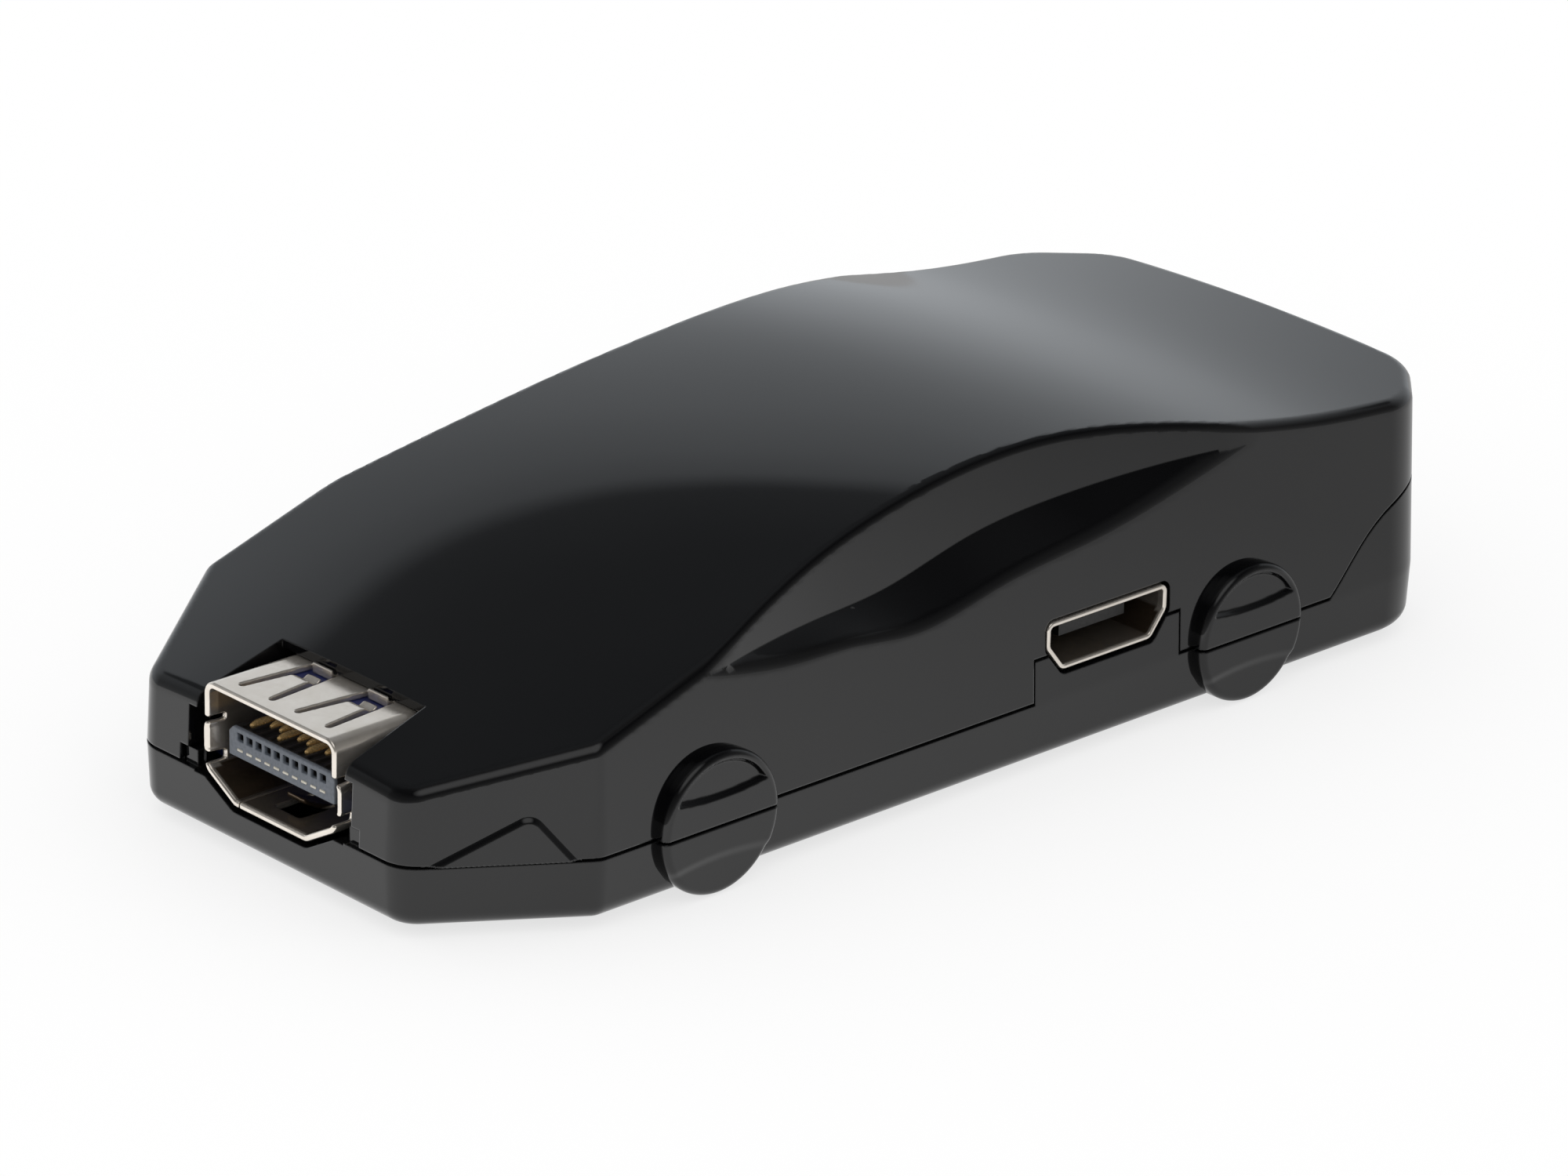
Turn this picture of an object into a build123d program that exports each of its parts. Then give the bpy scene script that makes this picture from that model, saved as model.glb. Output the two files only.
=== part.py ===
from build123d import *
import math
import os

os.makedirs("parts", exist_ok=True)

# A pocket video converter in a car-shaped housing of two moulded shells.
# The nose carries a mini video socket, the tail a wide one, and one flank a
# small power socket. X runs from the nose to the tail, Y across, Z up from
# the surface that the four moulded wheels stand on. All sizes in mm.

# Housing outline, at the parting line
length = 59.1
flank_half = 13.05
nose_half = 8.45
nose_run = 6.9
tail_cut = 3.5
nose_round = 1.8
corner_round = 1.1

# Housing walls and heights
wall = 1.2
draft = 2.5
underside_z = 0.4
parting_z = 3.2
form_top = 17.0
rim_round = 0.5
underside_round = 0.8

# Roof: share of the length behind the nose, and height of the centre line
crown = 0.6
roof_reach = 16.0
roof_line = [
    (-0.05, 5.75),
    (0.0, 6.65),
    (0.12, 8.85),
    (0.245, 11.25),
    (0.355, 13.0),
    (0.475, 14.2),
    (0.585, 14.6),
    (0.7, 14.0),
    (0.82, 12.75),
    (0.92, 12.15),
    (1.05, 11.8),
]

# Side windows: share of the length behind the nose, half width of the window
# wall, height of the sill at that wall, and the slope of the sill
window_draft = 5.0
sill_round = 0.5
window_line = [
    (0.17, 14.2, 9.9, 0.7),
    (0.213, 13.1, 9.78, 0.7),
    (0.28, 12.05, 9.82, 0.75),
    (0.347, 11.35, 9.8, 0.5),
    (0.415, 10.95, 9.9, 0.66),
    (0.5, 10.68, 10.85, 0.66),
    (0.592, 10.95, 11.5, 0.76),
    (0.677, 11.8, 11.9, 0.95),
    (0.77, 13.05, 12.05, 1.0),
    (0.83, 14.2, 12.1, 1.0),
]

# Joint between the two shells: it climbs near the tail, by distances before the tail
tail_rise_start = 8.9
tail_rise_middle = 6.8
tail_rise_height = 2.15
tail_rise_end = 2.5
lip_height = 0.7
lip_thickness = 0.55
lip_gap = 0.08
shadow_gap = 0.15
shadow_depth = 0.3

# Moulded wheels, by distances behind the nose and before the tail
wheel_radius = 3.25
front_wheel = 13.15
rear_wheel = 14.4
wheel_proud = 0.55
wheel_depth = 1.4
wheel_round = 0.3
spoke_rim_half = 1.5
spoke_mid_half = 1.15
upper_lens_depth = 0.3
lower_lens_depth = 0.1

# Headlamp pads on the slanted nose corners
lamp_proud = 0.15
lamp_start = 1.4
lamp_peak = 5.5
lamp_end = 7.15
lamp_height = 2.15
lamp_round = 0.5

# Circuit board
board_rise = 1.75
board_thickness = 1.0
board_gap = 0.35

# Posts that pin the board and the two shells, and the ribs between them
post_radius = 0.9
post_base_radius = 1.7
post_hole_gap = 0.12
post_play = 0.08
boss_radius = 1.9
post_grip = 2.2
front_post = 10.6
rear_post = 15.8
post_half = 9.0
rib_thickness = 1.0
floor_rib_half = 6.0
floor_rib_shares = (0.34, 0.58, 0.86)
roof_rib_half = 5.0
roof_rib_depths = (3.5, 8.5)

# Mini video socket in the nose
mini_width = 8.6
mini_height = 5.15
mini_sink = 2.025
mini_recess = 0.1
mini_depth = 5.1
mini_cut_run = 1.95
mini_cut_rise = 1.1
mini_sheet = 0.3
mini_round = 0.45
mini_tongue_width = 6.7
mini_tongue_height = 1.15
mini_tongue_rise = 0.075
mini_tongue_recess = 0.65
mini_block_start = 3.3
mini_block_tail = 0.75
mini_pitch = 0.6
mini_pins = 10
mini_pin_start = 1.0
mini_pocket = 0.32
mini_pocket_depth = 0.35
mini_pocket_rise = 0.22
mini_finger_half = 1.85
mini_finger_root = 0.95
mini_finger_tip = 4.0
mini_finger_window = 0.55
mini_finger_root_half = 1.0
mini_finger_tip_half = 0.72
mini_slit = 0.28
mini_latch_low = -0.6
mini_latch_high = 1.0
mini_latch_notch = 0.25
mini_latch_depth = 0.9
mini_wing_half = 5.7
mini_wing_start = 2.2
mini_wing_length = 1.5
mini_board_gap = 0.3

# Wide video socket in the tail
wide_width = 14.7
wide_height = 5.25
wide_lift = 0.35
wide_recess = 0.1
wide_depth = 11.6
wide_cut_run = 2.3
wide_cut_rise = 1.5
wide_sheet = 0.35
wide_round = 0.6
wide_tongue_width = 11.4
wide_tongue_height = 1.1
wide_tongue_rise = 0.45
wide_tongue_recess = 1.4
wide_block_start = 8.0
wide_block_tail = 0.6
wide_pitch = 1.0
wide_upper_pins = 10
wide_lower_pins = 9
wide_pin_start = 1.9
wide_finger_half = 3.6
wide_finger_root = 1.6
wide_finger_tip = 6.4
wide_finger_window = 0.4
wide_finger_root_half = 1.25
wide_finger_tip_half = 1.0
wide_slit = 0.3
wide_leg_depths = (3.6, 9.6)

# Small power socket in the flank, by its distance before the tail
power_station = 22.95
power_width = 7.35
power_height = 2.4
power_recess = 0.17
power_depth = 5.3
power_cut_run = 0.95
power_cut_rise = 1.2
power_sheet = 0.25
power_round = 0.35
power_tongue_width = 4.0
power_tongue_height = 0.6
power_tongue_rise = 0.2
power_tongue_recess = 1.0
power_block_start = 3.9
power_block_tail = 0.4
power_pitch = 0.65
power_pins = 5
power_pin_start = 1.4
power_leg_depths = (3.2,)

# Legs of the socket shells, through slots in the board
leg_length = 1.2
leg_through = 0.2
leg_gap = 0.12

# Contact strips
pin_width = 0.2
pin_thickness = 0.15
pin_proud = 0.05
pin_foot = 0.9

# Openings in the housing
mouth_gap = 0.15
hood_half = 4.65
hood_back = 4.6
hood_clear = 0.1
hood_behind = 0.15
nose_gap = 0.6
nose_step = 0.45
nose_step_top = 1.1
belly_flat_gap = 0.2
guide_post_gap = 0.15
guide_post_inner = 4.98
guide_post_width = 0.75
guide_post_start = 0.3
guide_post_depth = 0.8
guide_post_height = 0.75
power_tab_half = 4.4
power_tab_rise = 0.85
power_tab_gap = 0.1

# Parts on the board: share of the free board behind the mini socket, and Y
converter_place = (0.33, 0.5)
converter_side = 7.0
converter_height = 0.85
converter_pad_pitch = 0.5
converter_pad_count = 12
converter_pad_width = 0.25
converter_pad_length = 0.5
converter_heat_pad = 5.2
pad_thickness = 0.1
firmware_place = (0.58, 6.2)
firmware_size = (4.9, 3.9, 1.4)
firmware_pitch = 1.27
regulator_place = (0.49, -7.4)
regulator_size = (2.9, 1.6, 1.05)
regulator_pitch = 0.95
shifter_places = [(0.9, 4.6), (0.9, 0.6)]
shifter_size = (2.0, 1.25, 0.9)
shifter_pitch = 0.65
lead_count = 4
small_lead_count = 3
lead_stand_off = 0.1
lead_width = 0.3
lead_thickness = 0.15
lead_shoulder = 0.35
lead_foot = 0.85
crystal_place = (0.17, 6.0)
crystal_size = (3.2, 2.5, 0.55)
crystal_lid_inset = 0.2
crystal_lid_height = 0.2
coil_place = (0.54, -3.4)
coil_side = 3.0
coil_height = 1.5
coil_corner = 0.45
coil_core_radius = 1.15
coil_groove_width = 0.2
coil_groove_depth = 0.2
bulk_places = [(0.35, -7.6, 90), (0.66, -2.6, 90)]
bulk_size = (3.2, 2.5, 1.9, 0.5)
fuse_place = (0.76, -3.4)
fuse_size = (3.2, 1.6, 0.6, 0.5)
bead_places = [(0.74, 6.0, 0), (0.74, 4.2, 0), (0.74, 2.4, 0)]
bead_size = (1.6, 0.8, 0.8, 0.3)
coupling_row = 0.07
coupling_pitch = 1.05
coupling_count = 8
decoupling_rows = (0.19, 0.46)
decoupling_pitch = 1.6
decoupling_count = 4
capacitor_size = (1.0, 0.5, 0.5, 0.22)
resistor_row = 0.83
resistor_pitch = 1.25
resistor_count = 9
resistor_size = (1.0, 0.5, 0.35, 0.22)
end_proud = 0.03
array_row = 0.965
array_pitch = 3.4
array_count = 3
array_size = (1.0, 2.5, 0.6)

nose_x = -length / 2
tail_x = length / 2
floor_z = underside_z + wall
board_bottom_z = floor_z + board_rise
board_top_z = board_bottom_z + board_thickness
standing = (Align.CENTER, Align.CENTER, Align.MIN)
mini_centre_z = board_top_z - mini_sink + mini_height / 2
wide_centre_z = board_top_z + wide_lift + wide_height / 2
power_centre_z = board_top_z + power_height / 2
power_x = tail_x - power_station
wheel_face = flank_half + wheel_proud
mini_block_end = mini_depth + mini_block_tail
wide_block_end = wide_depth + wide_block_tail
power_block_end = power_depth + power_block_tail
foot_z = board_top_z + pin_thickness / 2
opening_half = mini_width / 2 + nose_gap
belly_half = mini_width / 2 - mini_cut_run + belly_flat_gap
guide_post_outer = guide_post_inner + guide_post_width
guide_post_top = parting_z + guide_post_height
lean = math.tan(math.radians(draft))
window_lean = math.tan(math.radians(window_draft))


def at(distance):
    """X of a place at this distance behind the nose."""
    return nose_x + distance


free_start = at(mini_recess + mini_block_end + pin_foot)
free_length = tail_x - wide_recess - wide_block_end - pin_foot - free_start
wheel_places = [(at(front_wheel), 0), (tail_x - rear_wheel, 0)]
post_places = [(x, side * post_half) for x in (at(front_post), tail_x - rear_post) for side in (-1, 1)]

# Mouth planes of the sockets, each facing out with its own Y up
mini_mouth = Plane((at(mini_recess), 0, mini_centre_z), x_dir=(0, -1, 0), z_dir=(-1, 0, 0))
wide_mouth = Plane((tail_x - wide_recess, 0, wide_centre_z), x_dir=(0, 1, 0), z_dir=(1, 0, 0))
power_mouth = Plane((power_x, power_recess - flank_half, power_centre_z), x_dir=(1, 0, 0), z_dir=(0, -1, 0))


def housing_plan(z, inset):
    """Outline of the housing seen from above at height z, drawn in by inset."""
    drawn_in = inset + abs(z - parting_z) * lean
    with BuildSketch(Plane.XY.offset(z)) as plan:
        with BuildLine():
            flank = Polyline(
                (nose_x, nose_half),
                (at(nose_run), flank_half),
                (tail_x - tail_cut, flank_half),
                (tail_x, flank_half - tail_cut),
            )
            mirror(about=Plane.XZ)
            Line(flank @ 0, (nose_x, -nose_half))
            Line(flank @ 1, (tail_x, tail_cut - flank_half))
        make_face()
        fillet(plan.vertices().group_by(Axis.X)[0], nose_round)
        fillet(plan.vertices().filter_by(lambda corner: corner.X > at(nose_round)), corner_round)
        if drawn_in > 0:
            offset(amount=-drawn_in)
    return plan.sketch


def housing_prism(inset, low_z, high_z):
    """Drafted block inside the housing outline between two heights."""
    with BuildPart() as prism:
        extrude(housing_plan(high_z, inset), amount=parting_z - high_z, taper=-draft)
        extrude(housing_plan(parting_z, inset), amount=low_z - parting_z, taper=draft)
    return prism.part


def roof_block(inset):
    """Everything under the crowned roof, lofted along the centre line."""
    with BuildPart() as roof:
        for share, height in roof_line:
            edge_z = height - inset - crown * (roof_reach / flank_half) ** 2
            with BuildSketch(Plane.YZ.offset(at(share * length))):
                with BuildLine():
                    sides = Polyline(
                        (-roof_reach, edge_z),
                        (-roof_reach, -underside_z),
                        (roof_reach, -underside_z),
                        (roof_reach, edge_z),
                    )
                    ThreePointArc(sides @ 0, (0, height - inset), sides @ 1)
                make_face()
        loft()
    return roof.part


def window_cutters(inset):
    """The space outside the two side windows, above their sloping sills."""
    cutter_side = roof_reach + 1
    with BuildPart() as cutters:
        for share, half, sill_z, slope in window_line:
            wall_y = half - inset
            wall_z = sill_z - inset
            with BuildSketch(Plane.YZ.offset(at(share * length))):
                with BuildLine():
                    Polyline(
                        (wall_y, wall_z),
                        (cutter_side, wall_z - slope * (cutter_side - wall_y)),
                        (cutter_side, form_top + 1),
                        (wall_y - window_lean * (form_top + 1 - wall_z), form_top + 1),
                        close=True,
                    )
                make_face()
        loft()
        mirror(about=Plane.XZ)
    return cutters.part


def block(low, high):
    """A box between two corners."""
    with BuildPart() as box:
        with BuildSketch(Plane.XY.offset(low[2])):
            with Locations(((low[0] + high[0]) / 2, (low[1] + high[1]) / 2)):
                Rectangle(high[0] - low[0], high[1] - low[1])
        extrude(amount=high[2] - low[2])
    return box.part


def pillars(radius, low_z, high_z):
    """One round pillar at each post place."""
    with BuildPart() as posts:
        with BuildSketch(Plane.XY.offset(low_z)):
            with Locations(post_places):
                Circle(radius)
        extrude(amount=high_z - low_z)
    return posts.part


def below_parting(rise, tab_gap):
    """Everything under the parting surface, lifted by rise."""
    outside = length
    with BuildPart() as below:
        with BuildSketch(Plane.XZ):
            with BuildLine():
                floor_line = Polyline(
                    (tail_x - tail_rise_start, parting_z + rise),
                    (-outside, parting_z + rise),
                    (-outside, -outside),
                    (outside, -outside),
                    (outside, wide_centre_z + rise),
                    (tail_x - tail_rise_end, wide_centre_z + rise),
                )
                Spline(
                    floor_line @ 0,
                    (tail_x - tail_rise_middle, parting_z + tail_rise_height + rise),
                    floor_line @ 1,
                    tangents=((1, 0.9), (1, 0.1)),
                )
            make_face()
        extrude(amount=outside, both=True)
        add(
            block(
                (power_x - power_tab_half - tab_gap, -flank_half - wall, parting_z),
                (power_x + power_tab_half + tab_gap, wall - flank_half, board_top_z + power_tab_rise + rise),
            )
        )
    return below.part


def joint_lip():
    """Thin wall on the inside of the lower shell's edge."""
    with BuildPart() as lip:
        add(housing_prism(wall - lip_thickness, underside_z, form_top))
        add(housing_prism(wall, underside_z, form_top), mode=Mode.SUBTRACT)
        add(below_parting(lip_height, 0), mode=Mode.INTERSECT)
        add(below_parting(0, 0), mode=Mode.SUBTRACT)
    return lip.part


def lip_rebate():
    """Room for the lip on the inside of the upper shell's edge."""
    with BuildPart() as rebate:
        add(housing_prism(wall - lip_thickness - lip_gap, underside_z, form_top))
        add(below_parting(lip_height + lip_gap, lip_gap), mode=Mode.INTERSECT)
    return rebate.part


def shadow_line():
    """Narrow groove around the outside of the joint."""
    with BuildPart() as groove:
        add(below_parting(shadow_gap, power_tab_gap))
        add(housing_prism(shadow_depth, underside_z, form_top), mode=Mode.SUBTRACT)
    return groove.part


def wheel_lens(up):
    """Lens between the rim of a wheel and the bowed edge of its spoke band."""
    rim_run = math.sqrt(wheel_radius**2 - spoke_rim_half**2)
    with BuildSketch(Plane.XZ.offset(wheel_face)) as lens:
        with BuildLine():
            ThreePointArc(
                (-rim_run, wheel_radius + up * spoke_rim_half),
                (0, wheel_radius + up * spoke_mid_half),
                (rim_run, wheel_radius + up * spoke_rim_half),
            )
            ThreePointArc(
                (rim_run, wheel_radius + up * spoke_rim_half),
                (0, wheel_radius * (1 + up)),
                (-rim_run, wheel_radius + up * spoke_rim_half),
            )
        make_face()
    return lens.sketch


def moulded_wheel():
    """Half-sunk disc with a proud spoke band, on the flank at X zero."""
    with BuildPart() as disc:
        with BuildSketch(Plane.XZ.offset(wheel_face - wheel_depth)):
            with Locations((0, wheel_radius)):
                Circle(wheel_radius)
        extrude(amount=wheel_depth)
        fillet(disc.faces().sort_by(Axis.Y)[0].edges(), wheel_round)
        extrude(wheel_lens(1), amount=-upper_lens_depth, mode=Mode.SUBTRACT)
        extrude(wheel_lens(-1), amount=-lower_lens_depth, mode=Mode.SUBTRACT)
    return disc.part


def headlamp_pads():
    """Raised triangular pads on the slanted corners beside the nose."""
    corner_angle = math.degrees(math.atan2(flank_half - nose_half, nose_run))
    corner = Plane(
        (nose_x, -nose_half, 0),
        x_dir=Vector(1, 0, 0).rotate(Axis.Z, -corner_angle),
        z_dir=Vector(0, -1, 0).rotate(Axis.Z, -corner_angle),
    )
    with BuildPart() as pads:
        with BuildSketch(corner.offset(-shadow_depth)) as pad:
            with BuildLine():
                Polyline(
                    (lamp_start, parting_z),
                    (lamp_peak, parting_z + lamp_height),
                    (lamp_end, parting_z),
                    close=True,
                )
            make_face()
            fillet(pad.vertices().sort_by(Axis.Z)[-1], lamp_round)
        extrude(amount=shadow_depth + lamp_proud)
        mirror(about=Plane.XZ)
    return pads.part


def socket_outline(width, height, cut_run, cut_rise, rounding, grow=0.0):
    """Outline of a socket's metal mouth, its lower corners cut off."""
    half = width / 2
    with BuildSketch() as outline:
        with BuildLine():
            Polyline(
                (-half, height / 2),
                (half, height / 2),
                (half, cut_rise - height / 2),
                (half - cut_run, -height / 2),
                (cut_run - half, -height / 2),
                (-half, cut_rise - height / 2),
                close=True,
            )
        make_face()
        fillet(outline.vertices(), rounding)
        if grow:
            offset(amount=grow)
    return outline.sketch


def mini_outline(grow=0.0):
    return socket_outline(mini_width, mini_height, mini_cut_run, mini_cut_rise, mini_round, grow)


def wide_outline(grow=0.0):
    return socket_outline(wide_width, wide_height, wide_cut_run, wide_cut_rise, wide_round, grow)


def power_outline(grow=0.0):
    return socket_outline(power_width, power_height, power_cut_run, power_cut_rise, power_round, grow)


def socket_run(mouth, outline, start, end):
    """Solid of an outline between two depths behind a mouth."""
    with BuildPart() as run:
        with BuildSketch(mouth.offset(-start)):
            add(outline)
        extrude(amount=start - end)
    return run.part


def spring_slits(root, tip, window, root_half, tip_half, slit):
    """Slits that free a tapered spring finger, and the gap behind its tip."""
    with BuildSketch() as slits:
        with BuildLine():
            Polyline(
                (root, root_half),
                (tip, tip_half),
                (tip + window, tip_half),
                (tip + window, -tip_half),
                (tip, -tip_half),
                (root, -root_half),
                close=True,
            )
        make_face()
        with BuildLine():
            Polyline(
                (root - slit, root_half - slit),
                (tip, tip_half - slit),
                (tip, slit - tip_half),
                (root - slit, slit - root_half),
                close=True,
            )
        make_face(mode=Mode.SUBTRACT)
    return slits.sketch


def spring_cuts(mouth, side, height, sheet, finger_half, slits):
    """Slits of a pair of spring fingers, through the top or the bottom sheet."""
    centre = mouth.from_local_coords((0, side * height / 2, 0))
    with BuildPart() as cuts:
        with BuildSketch(Plane(centre, x_dir=-mouth.z_dir, z_dir=mouth.y_dir * side)):
            with Locations((0, finger_half), (0, -finger_half)):
                add(slits)
        extrude(amount=-sheet)
    return cuts.part


def shell_legs(mouth, centre_z, width, sheet, depths, gap):
    """Flat legs from both sides of a socket's shell, down through the board."""
    low_y = board_bottom_z - leg_through - centre_z
    with BuildPart() as legs:
        for side in (-1, 1):
            centre = mouth.from_local_coords((side * (width - sheet) / 2, 0, 0))
            with BuildSketch(Plane(centre, x_dir=-mouth.z_dir, z_dir=mouth.x_dir)):
                with Locations([(depth, low_y / 2) for depth in depths]):
                    Rectangle(leg_length + 2 * gap, -low_y)
            extrude(amount=sheet / 2 + gap, both=True)
    return legs.part


def wide_legs(gap):
    return shell_legs(wide_mouth, wide_centre_z, wide_width, wide_sheet, wide_leg_depths, gap)


def power_legs(gap):
    return shell_legs(power_mouth, power_centre_z, power_width, power_sheet, power_leg_depths, gap)


def pedestal(mouth, width, height, sheet, lift, depths):
    """Back of an insulator, from the top of its block down to the board."""
    low_y = -height / 2 - lift
    high_y = height / 2 - sheet
    with BuildPart() as foot:
        with BuildSketch(mouth.offset(-depths[0])):
            with Locations((0, (low_y + high_y) / 2)):
                Rectangle(width - 2 * sheet, high_y - low_y)
        extrude(amount=depths[0] - depths[1])
    return foot.part


def tongue_and_block(mouth, inner, block, tongue, tongue_rise, tongue_recess):
    """Insulator of a socket: a block in the shell and a tongue towards the mouth."""
    with BuildPart() as insulator:
        add(socket_run(mouth, inner, *block))
        with BuildSketch(mouth.offset(-tongue_recess)):
            with Locations((0, tongue_rise)):
                Rectangle(*tongue)
        extrude(amount=tongue_recess - block[0])
    return insulator.part


def row(count, pitch):
    """Places of a row of this many things, centred on zero."""
    return [(i - (count - 1) / 2) * pitch for i in range(count)]


def bent_path(start, level, back, foot_level):
    """Path of a contact along the tongue, down behind the block and onto the board."""
    behind = back + pin_thickness / 2
    return [(start, level), (behind, level), (behind, foot_level), (back + pin_foot, foot_level)]


def contact_row(mouth, places, path):
    """Thin strips beside each other across a socket, all on the same path."""
    with BuildPart() as contacts:
        for place in places:
            side = Plane(mouth.from_local_coords((place, 0, 0)), x_dir=-mouth.z_dir, z_dir=mouth.x_dir)
            with BuildSketch(side):
                with BuildLine():
                    Polyline(*path)
                trace(line_width=pin_thickness)
            extrude(amount=pin_width / 2, both=True)
    return contacts.part


def on_board(share, y, turn=0):
    """Place on top of the board, by its share of the free board's length."""
    return Location((free_start + share * free_length, y, board_top_z), (0, 0, turn))


def package(size, stand_off):
    """Body of a flat chip package, clear of the board by a stand-off."""
    with BuildPart() as body:
        with Locations((0, 0, stand_off)):
            Box(*size, align=standing)
    return body.part


def gull_leads(count, pitch, size):
    """Bent leads along both long sides of a chip package."""
    shoulder_z = lead_stand_off + size[2] / 2
    with BuildPart() as leads:
        for place in row(count, pitch):
            for side in (-1, 1):
                with BuildSketch(Plane((place, 0, 0), x_dir=(0, side, 0), z_dir=(side, 0, 0))):
                    with BuildLine():
                        Polyline(
                            (size[1] / 2, shoulder_z),
                            (size[1] / 2 + lead_shoulder, shoulder_z),
                            (size[1] / 2 + lead_shoulder, lead_thickness / 2),
                            (size[1] / 2 + lead_foot, lead_thickness / 2),
                        )
                    trace(line_width=lead_thickness)
                extrude(amount=lead_width / 2, both=True)
    return leads.part


def chip_part(size):
    """Ceramic chip that stands on its slightly proud metal ends."""
    long, wide, high, end = size
    with BuildPart() as chip:
        with Locations((0, 0, end_proud)):
            Box(long - end, wide - 2 * end_proud, high - 2 * end_proud, align=standing)
        with Locations(((long - end) / 2, 0, 0), ((end - long) / 2, 0, 0)):
            Box(end, wide, high, align=standing)
    return chip.part


# The housing as one body, before it is hollowed and parted
with BuildPart() as housing:
    add(housing_prism(0, underside_z, form_top))
    add(roof_block(0), mode=Mode.INTERSECT)
    fillet(housing.faces().filter_by(GeomType.BSPLINE).sort_by(SortBy.AREA)[-1].edges(), rim_round)
    fillet(housing.faces().sort_by(Axis.Z)[0].edges(), underside_round)
    add(window_cutters(0), mode=Mode.SUBTRACT)
    long_edges = housing.edges().filter_by(lambda edge: 0.4 < edge.length / length < 0.7)
    fillet(long_edges.group_by(Axis.Z)[0], sill_round)
    add(headlamp_pads())

with BuildPart() as cavity:
    add(housing_prism(wall, floor_z, form_top))
    add(roof_block(wall), mode=Mode.INTERSECT)
    add(window_cutters(wall), mode=Mode.SUBTRACT)

with BuildPart() as wheels:
    with Locations(wheel_places):
        add(moulded_wheel())
    mirror(about=Plane.XZ)

# Mouths of the tail and flank sockets, through both shells
with BuildPart() as mouths:
    add(socket_run(wide_mouth, wide_outline(mouth_gap), -wall, 2 * wall))
    add(socket_run(power_mouth, power_outline(mouth_gap), -wall, 2 * wall))

# Bosses over the posts and ribs over the wide socket, up to the roof
with BuildPart() as roof_supports:
    add(pillars(boss_radius, board_top_z, form_top))
    for depth in roof_rib_depths:
        rib_x = tail_x - wide_recess - depth
        rib_low = (rib_x - rib_thickness, -roof_rib_half, wide_centre_z + wide_height / 2)
        add(block(rib_low, (rib_x, roof_rib_half, form_top)))
    add(housing.part, mode=Mode.INTERSECT)

# Lower shell: floor, skirt, board posts, ribs, guide posts and the lip
with BuildPart() as lower_shell:
    add(housing.part)
    add(cavity.part, mode=Mode.SUBTRACT)
    add(wheels.part)
    add(below_parting(0, 0), mode=Mode.INTERSECT)
    add(joint_lip())
    add(mouths.part, mode=Mode.SUBTRACT)
    add(pillars(post_base_radius, floor_z, board_bottom_z))
    add(pillars(post_radius, board_bottom_z, board_top_z + post_grip - post_hole_gap))
    for share in floor_rib_shares:
        rib_x = at(share * length)
        add(block((rib_x, -floor_rib_half, floor_z), (rib_x + rib_thickness, floor_rib_half, board_bottom_z)))
    with BuildSketch(Plane.YZ.offset(nose_x - wall)):
        with BuildLine():
            Polyline(
                (-opening_half, form_top),
                (-opening_half, mini_centre_z - mini_height / 2),
                (-belly_half, floor_z),
                (belly_half, floor_z),
                (opening_half, mini_centre_z - mini_height / 2),
                (opening_half, form_top),
                close=True,
            )
        make_face()
    extrude(amount=3 * wall, mode=Mode.SUBTRACT)
    for side in (-1, 1):
        across = sorted((side * guide_post_inner, side * guide_post_outer))
        post_low = (at(guide_post_start), across[0], floor_z)
        add(block(post_low, (at(guide_post_start + guide_post_depth), across[1], guide_post_top)))
lower_shell.part.label = "lower_shell"
export_step(lower_shell.part, "parts/lower_shell.step")

# Upper shell: roof, flanks, bosses, nose opening and the hood window over the socket
with BuildPart() as upper_shell:
    add(housing.part)
    add(cavity.part, mode=Mode.SUBTRACT)
    add(wheels.part)
    add(roof_supports.part)
    add(below_parting(0, power_tab_gap), mode=Mode.SUBTRACT)
    add(lip_rebate(), mode=Mode.SUBTRACT)
    add(shadow_line(), mode=Mode.SUBTRACT)
    add(mouths.part, mode=Mode.SUBTRACT)
    add(pillars(post_radius + post_play, board_top_z, board_top_z + post_grip), mode=Mode.SUBTRACT)
    with BuildSketch(Plane.XY.offset(floor_z)):
        with BuildLine():
            Polyline(
                (nose_x - wall, -opening_half),
                (at(hood_back), -hood_half),
                (at(hood_back), hood_half),
                (nose_x - wall, opening_half),
                close=True,
            )
        make_face()
    extrude(amount=form_top - floor_z, mode=Mode.SUBTRACT)
    for half, back, top in (
        (opening_half + nose_step, at(2 * wall), mini_centre_z + nose_step_top),
        (guide_post_outer + guide_post_gap, at(2 * wall), guide_post_top + guide_post_gap),
        (hood_half, at(mini_recess + mini_block_end) + hood_behind, mini_centre_z + mini_height / 2 + hood_clear),
    ):
        add(block((nose_x - wall, -half, floor_z), (back, half, top)), mode=Mode.SUBTRACT)
upper_shell.part.label = "upper_shell"
export_step(upper_shell.part, "parts/upper_shell.step")

# Circuit board, cut out for the mini socket, the posts and the socket legs
with BuildPart() as main_board:
    extrude(housing_plan(board_bottom_z, wall + board_gap), amount=board_thickness)
    cut_half = mini_width / 2 + mini_board_gap
    cut_back = at(mini_recess + mini_block_end)
    add(block((nose_x, -cut_half, board_bottom_z), (cut_back, cut_half, board_top_z)), mode=Mode.SUBTRACT)
    add(pillars(post_radius + post_hole_gap, board_bottom_z, board_top_z), mode=Mode.SUBTRACT)
    add(wide_legs(leg_gap), mode=Mode.SUBTRACT)
    add(power_legs(leg_gap), mode=Mode.SUBTRACT)
main_board.part.label = "main_board"
export_step(main_board.part, "parts/main_board.step")

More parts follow.
